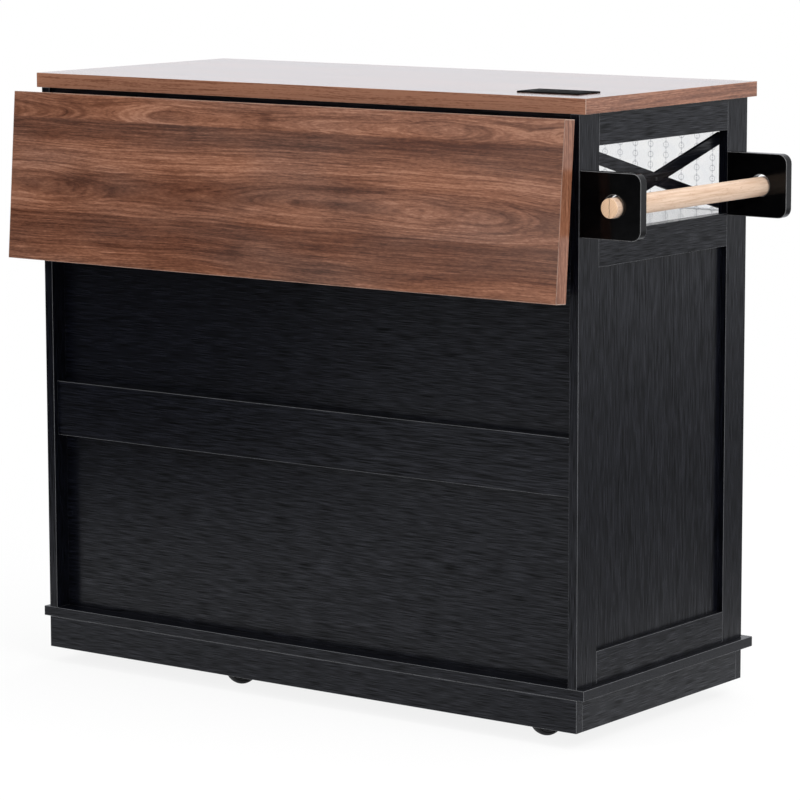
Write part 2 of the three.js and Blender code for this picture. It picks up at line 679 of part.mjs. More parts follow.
for (const [side, sign] of [["rack", -1], ["far", 1]]) {
  const x = sign * (endPlane - bracketFromEnd);
  const plateTop = totalHeight - bracketPlateTop;
  const plateBottom = stayPivot.z - bracketTail;

  // Fixed bracket: a back plate screwed to the top rail, with two ears and two pins across them
  const plate = board(
    [x - bracketWidth / 2, backRailFace, plateBottom],
    [x + bracketWidth / 2, backRailFace + bracketPlateThickness, plateTop], 0.4);
  const earOutline = new THREE.Shape();
  const top = leafPivot.z;
  const bottom = stayPivot.z;
  const face = backRailFace + bracketPlateThickness / 2;
  earOutline.moveTo(face, bottom - earRadius);
  earOutline.lineTo(stayPivot.y, bottom - earRadius);
  earOutline.absarc(stayPivot.y, bottom, earRadius, -Math.PI / 2, 0, false);
  earOutline.absarc(leafPivot.y, top, earRadius, 0, Math.PI / 2, false);
  earOutline.lineTo(face, top + earRadius);
  const ears = [-1, 1].map((way) => slab(earOutline, earThickness, 5)
    .rotateX(Math.PI / 2).rotateZ(Math.PI / 2)
    .translate(x + way * (earSpread + earThickness) / 2 - earThickness / 2, 0, 0));
  const pinHalf = earSpread / 2 + earThickness;
  const pinAt = (radius, pivot) => roundBar(radius, -pinHalf, pinHalf, 16)
    .rotateY(Math.PI / 2).translate(x, pivot.y, pivot.z);
  piece(`${side}_leaf_bracket`, shaped(
    [plate, ...ears, pinAt(leafPinRadius, leafPivot), pinAt(stayPinRadius, stayPivot)]),
  finishes.steel);

  // Arm: a channel open downwards, screwed under the leaf, turning on the bracket's upper pin
  const underLeaf = leafPivotDrop - leafThickness;
  const armStart = -earRadius + 1;
  const channel = board(
    [x - armOuterWidth / 2, armStart, underLeaf - armDepth],
    [x + armOuterWidth / 2, armStart + armLength, underLeaf], 0.4);
  const hollow = boxBetween(
    [x - armOuterWidth / 2 + armWall, armStart - 1, underLeaf - armDepth - 1],
    [x + armOuterWidth / 2 - armWall, armStart + armLength + 1, underLeaf - armWall]);
  const pinHole = roundBar(armPinHoleRadius, -armOuterWidth, armOuterWidth, 16)
    .rotateY(Math.PI / 2).translate(x, 0, 0);
  piece(`${side}_leaf_arm`, shaped([channel], [hollow, pinHole]), finishes.steel, hanging);

  // Stay: a flat link on the bracket's lower pin, whose free end runs inside the arm's channel
  const stay = new THREE.Group();
  stay.position.set(x, stayPivot.y, stayPivot.z);
  stay.rotation.x = stayHangAngle;
  island.add(stay);
  const link = new THREE.Shape();
  link.absarc(0, 0, stayWidth / 2, 0, Math.PI, false);
  link.absarc(0, -stayLength, stayWidth / 2, Math.PI, 2 * Math.PI, false);
  link.holes.push(new THREE.Path().absarc(0, 0, stayPinRadius + pinClearance, 0, 2 * Math.PI, true));
  const linkBody = slab(link, stayThickness, 8)
    .rotateX(Math.PI / 2).rotateZ(Math.PI / 2).translate(-stayThickness / 2, 0, 0);
  piece(`${side}_leaf_stay`, linkBody, finishes.steel, stay);
}

// ---------------------------------------------------------------------------------------------
// Casters
// ---------------------------------------------------------------------------------------------

const forkTop = plinthTop - casterHeadGap;
const legTop = forkTop - forkPlateThickness;
const legHalfGap = wheelWidth / 2 + forkClearance;

/** A caster's fork, drawn with its swivel axis on the origin and its wheel trailing along +X. */
function forkGeometry() {
  const head = roundBar(forkHeadRadius, legTop, forkTop, 20);
  const bridge = boxBetween(
    [-forkBackReach, -legHalfGap - forkLegThickness, legTop],
    [casterTrail + forkFrontReach, legHalfGap + forkLegThickness, forkTop]);
  const stem = roundBar(casterStemRadius, legTop, forkTop + casterStemLength, 16);
  const outline = new THREE.Shape();
  outline.moveTo(-forkBackReach, forkTop);
  outline.lineTo(casterTrail - forkLegHalfWidth, wheelRadius);
  outline.absarc(casterTrail, wheelRadius, forkLegHalfWidth, Math.PI, 2 * Math.PI, false);
  outline.lineTo(casterTrail + forkFrontReach, forkTop);
  const legs = [-1, 1].map((way) => slab(outline, forkLegThickness, 6).rotateX(Math.PI / 2)
    .translate(0, way * (legHalfGap + forkLegThickness / 2) + forkLegThickness / 2, 0));
  const axleHole = roundBar(wheelAxleRadius + pinClearance, -wheelWidth, wheelWidth, 16)
    .rotateX(Math.PI / 2).translate(casterTrail, 0, wheelRadius);
  return shaped([head, bridge, stem, ...legs], [axleHole]);
}

/**
 * A wheel with dished sides, turned about Y with its axle ends standing out. Its tread's flats, not
 * its corners, lie at the wheel's radius, and one flat is at the bottom.
 */
function wheelGeometry() {
  const half = wheelWidth / 2;
  const tread = wheelRadius / Math.cos(Math.PI / wheelSides);
  const rim = wheelRadius - wheelTreadDepth;
  const axleEnd = legHalfGap + forkLegThickness;
  const side = [
    [0, axleEnd], [wheelAxleRadius, axleEnd], [wheelAxleRadius, half - wheelDish],
    [rim, half - wheelDish], [rim, half], [tread - wheelTreadRound, half],
    [tread, half - wheelTreadRound],
  ];
  const otherSide = side.map(([r, z]) => [r, -z]);
  return turned([...otherSide, ...side.reverse()], wheelSides)
    .rotateZ(Math.PI / wheelSides).rotateX(Math.PI / 2);
}

for (const row of casterRows) for (const column of casterColumns) {
  const caster = new THREE.Group();
  caster.position.set(casterX[column], casterY[row], 0);
  caster.rotation.z = degrees(casterHeadings[`${column}_${row}`]);
  island.add(caster);
  piece(`${column}_${row}_caster_fork`, forkGeometry(), finishes.steel, caster);
  piece(`${column}_${row}_caster_wheel`,
    wheelGeometry().translate(casterTrail, 0, wheelRadius), finishes.wheel, caster);
}

// ---------------------------------------------------------------------------------------------
// Origin at the bottom centre of the whole island's box
// ---------------------------------------------------------------------------------------------

const group = new THREE.Group();
group.add(island);
island.updateMatrixWorld(true);
const box = new THREE.Box3().setFromObject(island, true);
island.position.set(
  -(box.min.x + box.max.x) / 2, -(box.min.y + box.max.y) / 2, -box.min.z);

export default group;
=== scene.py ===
"""Dressed model of a drop leaf kitchen island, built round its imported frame.

Everything is in metres in the frame's own directions: +Z up, the towel rack on the -X end, the
glass panes and doors facing -Y and the drop leaf hanging on the +Y side.
"""

import json
import logging
import math
from collections.abc import Callable, Iterable, Sequence
from dataclasses import dataclass, field
from enum import Enum
from typing import Union

import bpy
import numpy as np
from mathutils import Matrix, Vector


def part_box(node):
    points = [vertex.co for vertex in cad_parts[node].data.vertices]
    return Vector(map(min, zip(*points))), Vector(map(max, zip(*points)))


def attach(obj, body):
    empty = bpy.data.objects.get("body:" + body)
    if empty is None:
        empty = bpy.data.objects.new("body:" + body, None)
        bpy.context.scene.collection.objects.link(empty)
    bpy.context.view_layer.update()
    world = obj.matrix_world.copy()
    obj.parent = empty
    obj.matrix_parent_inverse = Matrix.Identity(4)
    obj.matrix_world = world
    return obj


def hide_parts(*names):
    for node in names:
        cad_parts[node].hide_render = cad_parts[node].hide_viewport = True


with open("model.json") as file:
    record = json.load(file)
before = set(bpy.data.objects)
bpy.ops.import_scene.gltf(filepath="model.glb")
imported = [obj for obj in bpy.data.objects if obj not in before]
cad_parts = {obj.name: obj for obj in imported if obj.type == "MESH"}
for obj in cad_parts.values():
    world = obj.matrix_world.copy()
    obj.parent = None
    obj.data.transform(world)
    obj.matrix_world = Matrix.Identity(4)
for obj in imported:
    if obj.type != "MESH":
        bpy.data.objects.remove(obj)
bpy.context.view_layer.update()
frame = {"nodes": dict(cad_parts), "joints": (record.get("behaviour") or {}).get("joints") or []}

MM = 0.001
SHARP_EDGE = math.radians(50)  # edges that turn by more stay sharp, where a surface has no normals
OUTLINE_SAMPLES = 4000  # points at which an outline's angles are worked out
UPRIGHT = np.array([[1, 0, 0], [0, 0, -1], [0, 1, 0]], float)  # turns +Y up and +Z to -Y
log = logging.getLogger("kitchen_island")


# ------------------------------------------------------------------------------------------------
# Surfaces
# ------------------------------------------------------------------------------------------------


class Axis(Enum):
    """A direction of the frame, by its place in a point."""

    X = 0
    Y = 1
    Z = 2


@dataclass
class Surface:
    """A closed surface as whole arrays.

    Points are (n, 3), faces are (m, 4) with a triangle's last corner repeated, and normals, where
    a formula gives them, are (n, 3). The edge mask is 1 on the crest of a rounded edge, where the
    materials paint a paler tone as a highlight, and 0 on the flats.
    """

    points: np.ndarray
    faces: np.ndarray
    normals: np.ndarray | None = None
    rub: np.ndarray | None = None

    def placed(self, turn: np.ndarray, move: Sequence[float]) -> "Surface":
        """Turns the surface by a 3 x 3 matrix and then moves it.

        Args:
            turn: the matrix, whose columns are where the three directions go.
            move: how far it moves, in metres.

        Returns:
            The placed surface.
        """
        normals = None if self.normals is None else self.normals @ turn.T
        return Surface(self.points @ turn.T + np.asarray(move, float), self.faces, normals, self.rub)

    def moved(self, move: Sequence[float]) -> "Surface":
        """The surface moved by that many metres, unturned."""
        return self.placed(np.eye(3), move)

    @staticmethod
    def joined(parts: Iterable["Surface"]) -> "Surface":
        """Puts several surfaces into one, which stay separate shells.

        Args:
            parts: the surfaces, all with normals or all without.

        Returns:
            One surface.
        """
        parts = list(parts)
        starts = np.cumsum([0] + [len(part.points) for part in parts[:-1]])
        with_normals = all(part.normals is not None for part in parts)
        return Surface(
            np.concatenate([part.points for part in parts]),
            np.concatenate([part.faces + start for part, start in zip(parts, starts)]),
            np.concatenate([part.normals for part in parts]) if with_normals else None,
            np.concatenate([np.zeros(len(part.points)) if part.rub is None else part.rub for part in parts]),
        )


def grid_faces(rows: int, columns: int, wrap_rows: bool = False, wrap_columns: bool = False) -> np.ndarray:
    """Quads of a grid of points that is numbered row by row.

    Args:
        rows: how many rows of points there are.
        columns: how many points a row has.
        wrap_rows: whether the last row is joined to the first.
        wrap_columns: whether the last column is joined to the first.

    Returns:
        The quads as an (m, 4) array.
    """
    i, j = np.meshgrid(
        np.arange(rows if wrap_rows else rows - 1),
        np.arange(columns if wrap_columns else columns - 1),
        indexing="ij",
    )
    below, right = (i + 1) % rows, (j + 1) % columns
    corners = [i * columns + j, below * columns + j, below * columns + right, i * columns + right]
    return np.stack(corners, axis=-1).reshape(-1, 4)


def capped(rings: np.ndarray, low: Sequence[float], high: Sequence[float]) -> tuple[np.ndarray, np.ndarray]:
    """Closes a tube of rings with a single pole at each end.

    Args:
        rings: the points as an (r, n, 3) array, each ring anticlockwise about the tube's direction.
        low: the pole that the first ring is joined to.
        high: the pole that the last ring is joined to.

    Returns:
        All the points, with the two poles last, and the faces.
    """
    rows, sides = rings.shape[:2]
    first, following = np.arange(sides), (np.arange(sides) + 1) % sides
    last, bottom = (rows - 1) * sides, rows * sides
    foot = np.stack([np.full(sides, bottom), following, first, first], axis=1)
    head = np.stack([np.full(sides, bottom + 1), last + first, last + following, last + following], axis=1)
    quads = grid_faces(rows, sides, wrap_columns=True)[:, ::-1]
    return np.concatenate([rings.reshape(-1, 3), [low, high]]), np.concatenate([quads, foot, head])


def rounded_board(low: Sequence[float], high: Sequence[float], radius: float, steps: int = 2) -> Surface:
    """Board between two corners, with all its edges rounded.

    Each point of the plain box is pulled to the nearest point of an inner box, which is smaller by
    the radius on every side, and then set out again from there by the radius, along the way it came.

    Args:
        low: the lowest corner.
        high: the highest corner.
        radius: the rounding's radius.
        steps: rows of faces on each half of a rounded edge.

    Returns:
        The board, with exact normals.
    """
    low, high = np.asarray(low, float), np.asarray(high, float)
    radius = min(radius, 0.49 * float(np.min(high - low)))
    near = 1 - np.tan(np.linspace(math.pi / 4, 0, steps + 1))
    stops = [np.concatenate([a + radius * near, b - radius * near[::-1]]) for a, b in zip(low, high)]
    points, faces, count = [], [], 0
    for axis in range(3):
        u, v = (axis + 1) % 3, (axis + 2) % 3
        quads = grid_faces(len(stops[u]), len(stops[v]))
        for level, outward in ((low[axis], False), (high[axis], True)):
            side = np.empty((len(stops[u]), len(stops[v]), 3))
            side[..., axis] = level
            side[..., u], side[..., v] = np.meshgrid(stops[u], stops[v], indexing="ij")
            points.append(side.reshape(-1, 3))
            faces.append((quads if outward else quads[:, ::-1]) + count)
            count += points[-1].shape[0]
    box, owner = np.unique(np.round(np.concatenate(points), 9), axis=0, return_inverse=True)
    inner = np.clip(box, low + radius, high - radius)
    normals = box - inner
    normals /= np.linalg.norm(normals, axis=1, keepdims=True)
    # share of painted highlight: 1 on the crest of each rounded edge, 0 on the flats
    rub = crest(np.abs(normals).max(axis=1))
    return Surface(inner + radius * normals, owner.reshape(-1)[np.concatenate(faces)], normals, rub)


def crest(level: np.ndarray) -> np.ndarray:
    """1 halfway round an edge and 0 on the flats, from the larger part of each normal."""
    return np.clip((1 - level) / (1 - math.sqrt(0.5)), 0, 1)


def turned(profile: Sequence[tuple[float, float]], sides: int = 48) -> Surface:
    """Solid of revolution about Z.

    Point (i, j) is the profile's i-th radius and height, turned by j parts of a full circle. The
    profile's first and last points lie on the axis and become single poles.

    Args:
        profile: pairs of radius and height, from the lower pole to the upper one.
        sides: how many points lie round the axis.

    Returns:
        The closed surface.
    """
    outline = np.asarray(profile, float)
    ring, angle = outline[1:-1], np.linspace(0, math.tau, sides, endpoint=False)
    rings = np.stack([
        ring[:, :1] * np.cos(angle), ring[:, :1] * np.sin(angle), ring[:, 1:] * np.ones_like(angle)], axis=-1)
    return Surface(*capped(rings, (0, 0, outline[0, 1]), (0, 0, outline[-1, 1])))


def rounded_corner(
    radius: float, start: float, middle: Sequence[float], steps: int = 3,
) -> list[tuple[float, float]]:
    """Quarter circle for a turned profile, as radius and height pairs.

    Args:
        radius: the rounding's radius.
        start: the angle in degrees at which the quarter begins, going anticlockwise.
        middle: the circle's middle.
        steps: how many stretches it has.

    Returns:
        The points along it.
    """
    angles = np.radians(start + np.linspace(0, 90, steps + 1))
    return [(middle[0] + radius * math.cos(a), middle[1] + radius * math.sin(a)) for a in angles]


def bevelled_pin(radius: float, length: float, bevel: float) -> Surface:
    """A round pin from z = 0 up, bevelled at its upper end by so much in radius and height."""
    rim = [(radius, length - bevel), (radius - bevel, length)]
    return turned([(0, 0), (radius, 0), *rim, (0, length)], 20)


def rectangle_outline(size: Sequence[float], radius: float = 0.0, steps: int = 6) -> np.ndarray:
    """Rectangle about the origin with round corners, anticlockwise.

    Args:
        size: its length and width.
        radius: the corners' radius, or 0 for square corners.
        steps: stretches on each corner.

    Returns:
        The outline's points as an (n, 2) array.
    """
    half = np.asarray(size, float) / 2 - radius
    quarter = np.linspace(0, math.pi / 2, steps + 1) if radius else np.array([math.pi / 4])
    corners = []
    for turn, (sx, sy) in enumerate([(1, 1), (-1, 1), (-1, -1), (1, -1)]):
        arc = np.stack([np.cos(quarter + turn * math.pi / 2), np.sin(quarter + turn * math.pi / 2)], axis=1)
        corners.append(np.array([sx * half[0], sy * half[1]]) + radius * arc)
    return np.concatenate(corners)


def seen_from(outline: np.ndarray, eye: np.ndarray, turns: int = 48) -> np.ndarray:
    """Adds points to an outline, so that it has one at each of a number of equal angles about a point.

    The outline's own points stay. The angle is worked out densely along its length, and the places
    of the new points are read back from that.

    Args:
        outline: the closed outline, anticlockwise, which the eye sees all of.
        eye: the point inside it.
        turns: how many equal angles there are.

    Returns:
        The finer outline.
    """
    loop = np.concatenate([outline, outline[:1]])
    run = np.concatenate([[0], np.cumsum(np.linalg.norm(np.diff(loop, axis=0), axis=1))])
    dense = np.linspace(0, run[-1], OUTLINE_SAMPLES)
    spots = np.stack([np.interp(dense, run, loop[:, 0]), np.interp(dense, run, loop[:, 1])], axis=1) - eye
    angle = np.unwrap(np.arctan2(spots[:, 1], spots[:, 0]))
    wanted = np.arange(math.ceil(angle[0] * turns / math.tau), math.floor(angle[-1] * turns / math.tau))
    extra = np.interp(wanted * math.tau / turns, angle, dense)
    places = np.unique(np.concatenate([run[:-1], extra]))
    places = places[np.concatenate([[True], np.diff(places) > run[-1] * 1e-5])]
    return np.stack([np.interp(places, run, loop[:, 0]), np.interp(places, run, loop[:, 1])], axis=1)


def outline_normals(outline: np.ndarray) -> tuple[np.ndarray, np.ndarray]:
    """Outward directions at the points of an anticlockwise outline.

    Args:
        outline: the outline's points.

    Returns:
        The directions, halfway between those of the two edges that meet there, and how much longer
        an inset is along each, so that it stays even along the edges.
    """
    edge = np.roll(outline, -1, axis=0) - outline
    side = np.stack([edge[:, 1], -edge[:, 0]], axis=1)
    side /= np.linalg.norm(side, axis=1, keepdims=True)
    middle = side + np.roll(side, 1, axis=0)
    middle /= np.linalg.norm(middle, axis=1, keepdims=True)
    return middle, 1 / np.clip(np.sum(middle * side, axis=1), 0.5, 1)


def plate(
    outline: np.ndarray, hole: np.ndarray | None, thickness: float, radius: float, steps: int = 2,
) -> Surface:
    """Flat plate from z = 0 up, with rounded edges and, if wanted, one hole.

    The two parameters are the place along the outline and the place round the plate's section. On a
    rounded edge at angle a from level, a point lies radius x (1 - cos a) inside the outline and
    radius x (1 - sin a) inside the face. The hole's edge is the same, turned inwards.

    Args:
        outline: the outline's points, anticlockwise.
        hole: the hole's edge with a point for each of the outline's, or None for a plate with no hole.
        thickness: the plate's thickness.
        radius: the edges' rounding.
        steps: rows of faces on each quarter of rounding.

    Returns:
        The closed plate, with exact normals.
    """
    radius = min(radius, 0.49 * thickness)
    quarter = np.linspace(0, math.pi / 2, steps + 1)
    tilt = np.concatenate([-quarter[::-1], quarter])
    height = np.where(tilt < 0, radius, thickness - radius) + radius * np.sin(tilt)
    height[steps], height[steps + 1] = radius, thickness - radius
    level = np.cos(tilt)

    def rim(edge: np.ndarray, out: int) -> tuple[np.ndarray, np.ndarray]:
        """Rows of points over one edge.

        Args:
            edge: the edge's points.
            out: 1 for the outline, whose rows go up, or -1 for the hole, whose rows go down.

        Returns:
            The points and their normals, each as a (rows, points, 3) array.
        """
        way, stretch = outline_normals(edge)
        inset = (radius * (1 - level[::out]))[:, None] * stretch[None, :]
        flat = edge[None] - out * inset[..., None] * way[None]
        one = flat.shape[:2] + (1,)
        rise, slope = (np.broadcast_to(row[::out, None, None], one) for row in (height, np.sin(tilt)))
        sides = out * level[::out, None, None] * way[None]
        return np.concatenate([flat, rise], axis=2), np.concatenate([sides, slope], axis=2)

    rows, ways = rim(outline, 1)
    # share of painted highlight on the crests of the rounded edges
    wear_and_edge_highlight = np.repeat(crest(np.maximum(level, np.abs(np.sin(tilt)))), len(outline))
    if hole is not None:
        inner_rows, inner_ways = rim(hole, -1)
        rows, ways = np.concatenate([rows, inner_rows]), np.concatenate([ways, inner_ways])
        faces = grid_faces(len(rows), len(outline), wrap_rows=True, wrap_columns=True)[:, ::-1]
        return Surface(rows.reshape(-1, 3), faces, ways.reshape(-1, 3), np.concatenate([wear_and_edge_highlight, wear_and_edge_highlight]))
    middle = outline.mean(axis=0)
    normals = np.concatenate([ways.reshape(-1, 3), [[0, 0, -1], [0, 0, 1]]])
    return Surface(*capped(rows, [*middle, 0], [*middle, thickness]), normals, np.concatenate([wear_and_edge_highlight, [0, 0]]))


def holed_plate(
    outline: np.ndarray, eye: np.ndarray, hole_radius: float, thickness: float, radius: float,
    turns: int = 48, steps: int = 2,
) -> Surface:
    """Flat plate from z = 0 up, with rounded edges and one round hole.

    Args:
        outline: the outline's points, anticlockwise.
        eye: the hole's middle.
        hole_radius: the hole's radius.
        thickness: the plate's thickness.
        radius: the edges' rounding.
        turns: equal angles round the hole at which it has a point.
        steps: rows of faces on each quarter of rounding.

    Returns:
        The closed plate, with exact normals.
    """
    loop = seen_from(outline, eye, turns)
    ray = loop - eye
    hole = eye + hole_radius * ray / np.linalg.norm(ray, axis=1, keepdims=True)
    return plate(loop, hole, thickness, radius, steps)


def cross_head(radius: float, height: float) -> Surface:
    """Domed screw head with a cross recess, its seat on z = 0.

    The two parameters are the distance from the axis and the angle round it. The height is a dome,
    height x (1 - (r / radius)^2 / 2), less a recess where the point lies within a narrow strip along
    X or along Y and near the middle.

    Args:
        radius: the head's radius.
        height: its height.

    Returns:
        The closed head.
    """
    sides, slot, reach = 32, 0.13 * radius, 0.62 * radius
    recess, rim = 0.42 * height, 0.3 * height
    share = np.array([0.12, 0.22, 0.36, 0.5, 0.6, 0.68, 0.86, 0.97, 1.0])[:, None]
    angle = np.linspace(0, math.tau, sides, endpoint=False)
    r = share * radius
    x, y = r * np.cos(angle), r * np.sin(angle)
    dome = height * (1 - share ** 2 / 2) * np.ones_like(x)
    dome[-1] = rim
    arm = np.minimum(np.abs(x), np.abs(y)) < slot
    dome -= np.where(arm & (r < reach), recess, 0.0)
    top = np.stack([x, y, dome], axis=-1)
    seat = np.stack([x[-1], y[-1], np.zeros(sides)], axis=-1)[None]
    return Surface(*capped(np.concatenate([seat, top[::-1]]), (0, 0, 0), (0, 0, height - recess)))


def pointing(direction: Sequence[float]) -> np.ndarray:
    """Matrix that turns +Z to a direction and keeps +Y as near to upright as it can.

    Args:
        direction: where +Z goes. Where that is upright itself, +Y stays as it is.

    Returns:
        A 3 x 3 matrix.
    """
    z = np.asarray(direction, float) / np.linalg.norm(direction)
    upright = abs(float(z[2])) > 0.99
    y = np.array([0.0, 1.0, 0.0] if upright else [0.0, 0.0, 1.0])
    x = np.cross(y, z)
    x /= np.linalg.norm(x)
    return np.stack([x, np.cross(z, x), z], axis=1)


def corners_of(node: str) -> tuple[np.ndarray, np.ndarray]:
    """Lowest and highest corner of a frame node, as arrays."""
    low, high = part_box(node)
    return np.array(low), np.array(high)


def joint_of(name: str) -> dict:
    """The frame's row for the joint of that name."""
    return next(joint for joint in frame["joints"] if joint["name"] == name)


# ------------------------------------------------------------------------------------------------
# Shader expressions
# ------------------------------------------------------------------------------------------------

Value = Union["Field", float]
Colour = tuple[float, float, float]


def operator(operation: str, reflected: bool = False) -> Callable[["Field", Value], "Field"]:
    """A method for one of Python's operators, which adds one Math node.

    Args:
        operation: the node's operation.
        reflected: whether the other value comes first.

    Returns:
        The method.
    """

    def method(this: "Field", other: Value) -> "Field":
        """This field and the other value, put through the operation."""
        return this.math(operation, *((other, this) if reflected else (this, other)))

    return method


class Field:
    """An output socket. Python's operators on it add Math nodes, also with a plain number."""

    def __init__(self, recipe: "Recipe", socket: bpy.types.NodeSocket) -> None:
        """Wraps the socket of a node in that recipe."""
        self.recipe = recipe
        self.socket = socket

    def math(self, operation: str, *values: Value) -> "Field":
        """Adds a Math node of that operation on those values."""
        return self.recipe.node("ShaderNodeMath", {"operation": operation}, dict(enumerate(values)))

    __add__ = __radd__ = operator("ADD")
    __sub__, __rsub__ = operator("SUBTRACT"), operator("SUBTRACT", reflected=True)
    __mul__ = __rmul__ = operator("MULTIPLY")
    __truediv__, __rtruediv__ = operator("DIVIDE"), operator("DIVIDE", reflected=True)
    __pow__ = operator("POWER")
    __mod__ = operator("FLOORED_MODULO")
    __gt__ = operator("GREATER_THAN")
    __lt__ = operator("LESS_THAN")
    most = operator("MAXIMUM")

    def __neg__(self) -> "Field":
        """This times -1."""
        return self * -1.0

    def __abs__(self) -> "Field":
        """This without its sign."""
        return self.math("ABSOLUTE", self)

    def sine(self) -> "Field":
        """The sine of this, in radians."""
        return self.math("SINE", self)

    def dome(self) -> "Field":
        """e to the power of minus this."""
        return self.math("POWER", math.e, -self)

    def rise(self, start: float, end: float) -> "Field":
        """0 up to start and 1 from end on, with a smooth step between them."""
        return self.recipe.node(
            "ShaderNodeMapRange", {"interpolation_type": "SMOOTHSTEP", "clamp": True},
            {"Value": self, "From Min": start, "From Max": end},
        )


class Recipe:
    """The node tree of one material or of the surroundings, written as expressions."""

    def __init__(self, owner: bpy.types.Material | bpy.types.World) -> None:
        """Starts an empty tree.

        Args:
            owner: the material or world that the tree belongs to.
        """
        owner.use_nodes = True
        self.owner = owner
        self.tree = owner.node_tree
        self.tree.nodes.clear()

    @classmethod
    def named(cls, name: str) -> "Recipe":
        """A recipe for a new material of that name."""
        return cls(bpy.data.materials.new(name))

    def node(
        self, kind: str, settings: dict | None = None, inputs: dict | None = None, output: int | str = 0,
    ) -> Field:
        """Adds one node.

        Args:
            kind: the node's type.
            settings: its settings, set first; "stops" are a ramp's positions and colours.
            inputs: values or fields by socket name or number.
            output: which output is returned.

        Returns:
            That output.
        """
        made = self.tree.nodes.new(kind)
        for name, value in (settings or {}).items():
            if name == "stops":
                ramp = made.color_ramp.elements
                ramp.remove(ramp[-1])
                ramp[0].position = value[0][0]
                for place, _ in value[1:]:
                    ramp.new(place)
                for stop, (_, shade) in zip(ramp, value):
                    stop.color = (*shade, 1) if isinstance(shade, tuple) else (shade, shade, shade, 1)
            else:
                setattr(made, name, value)
        for name, value in (inputs or {}).items():
            if isinstance(value, Field):
                self.tree.links.new(value.socket, made.inputs[name])
            else:
                made.inputs[name].default_value = value
        return Field(self, made.outputs[output])

    def place(self) -> tuple[Field, Field, Field]:
        """The point's X, Y and Z on the finished object, which never move on the piece."""
        spot = self.node("ShaderNodeTexCoord", output="Object")
        return tuple(self.node("ShaderNodeSeparateXYZ", inputs={0: spot}, output=i) for i in range(3))

    def rub(self) -> Field:
        """Share of painted highlight at the point, 1 on the crest of a rounded edge."""
        return self.node("ShaderNodeAttribute", {"attribute_name": "rub"}, output="Fac")

    def vector(self, x: Value, y: Value, z: Value) -> Field:
        """Three values as one vector."""
        return self.node("ShaderNodeCombineXYZ", inputs={0: x, 1: y, 2: z})

    def noise(self, spot: Field, detail: float = 2.0, roughness: float = 0.5) -> Field:
        """Soft noise from 0 to 1 at a spot that is already scaled."""
        return self.node("ShaderNodeTexNoise", {"noise_dimensions": "3D"}, {
            "Vector": spot, "Scale": 1.0, "Detail": detail, "Roughness": roughness})

    def speckle(self, spot: Sequence[Field], rate: float, detail: float, roughness: float = 0.5) -> Field:
        """Soft noise at a point's X, Y and Z, with as many patches per metre each way."""
        return self.noise(self.vector(*[part * rate for part in spot]), detail, roughness)

    def ramp(self, value: Value, stops: Sequence[tuple[float, Colour | float]]) -> Field:
        """A colour, or a grey, read from stops along a value from 0 to 1."""
        return self.node("ShaderNodeValToRGB", {"stops": list(stops)}, {0: value})

    def blend(self, share: Value, first: Field | Colour, second: Field | Colour) -> Field:
        """Mixes two colours by a share, 0 for the first and 1 for the second."""
        ends = [end if isinstance(end, Field) else (*end, 1) for end in (first, second)]
        return self.node("ShaderNodeMix", {"data_type": "RGBA"}, {0: share, 6: ends[0], 7: ends[1]}, 2)

    def bump(self, height: Field, distance: float, strength: float = 1.0) -> Field:
        """A normal from a height from 0 to 1 that stands for that distance in metres."""
        sockets = {"Height": height, "Distance": distance, "Strength": strength}
        return self.node("ShaderNodeBump", inputs=sockets)

    def finished(self, shader: Field) -> bpy.types.Material | bpy.types.World:
        """Sends a shader to the output.

        Args:
            shader: the shader.

        Returns:
            The owner of the nodes.
        """
        kind = "World" if isinstance(self.owner, bpy.types.World) else "Material"
        output = self.tree.nodes.new(f"ShaderNodeOutput{kind}")
        self.tree.links.new(shader.socket, output.inputs["Surface"])
        return self.owner

    def surface(self, **sockets: Value | Colour | Field) -> Field:
        """A Principled shader.

        Args:
            sockets: values or fields by socket name, in small letters with underscores for spaces.

        Returns:
            The shader.
        """
        values = {}
        for name, value in sockets.items():
            label = " ".join("IOR" if word == "ior" else word.capitalize() for word in name.split("_"))
            values[label] = (*value, 1) if isinstance(value, tuple) else value
        return self.node("ShaderNodeBsdfPrincipled", inputs=values)


# ------------------------------------------------------------------------------------------------
# Finishes
# ------------------------------------------------------------------------------------------------


@dataclass(frozen=True)
class Knot:
    """A dark eye or cloud in the walnut, with the grain bent round it."""

    along: float  # its place along the grain and across it
    across: float
    length: float  # how far it reaches along the grain and across it
    height: float
    depth: float  # how much darker its middle is
    push: float = 0.0  # how far it moves the grain aside


@dataclass(frozen=True)
class Strip:
    """One strip of veneer across a board, from its own log.

    Start and heart are shares of the board's width: where the strip begins, and the line that the
    log's heart runs under. The heart's depth under the face changes along the grain, by roll, which
    draws arches and closed loops on both sides of that line. A heart far outside the board leaves
    its grain straight.
    """

    start: float = 0.0
    heart: float = 0.5
    depth: float = 30 * MM
    roll: float = 60 * MM


STRAIGHT = (Strip(0.0, 6.0, 8 * MM, 8 * MM),)
WARM_TONES = (
    (0.0, (0.062, 0.020, 0.010)), (0.25, (0.108, 0.038, 0.019)), (0.5, (0.156, 0.060, 0.031)),
    (0.75, (0.230, 0.094, 0.052)), (1.0, (0.33, 0.152, 0.090)))
GREY_TONES = (
    (0.0, (0.054, 0.026, 0.018)), (0.25, (0.092, 0.042, 0.028)), (0.5, (0.137, 0.064, 0.042)),
    (0.75, (0.205, 0.096, 0.063)), (1.0, (0.30, 0.156, 0.106)))
# pale tone painted on the crests of rounded edges as a highlight
WALNUT_EDGE_HIGHLIGHT = (0.62, 0.50, 0.42)


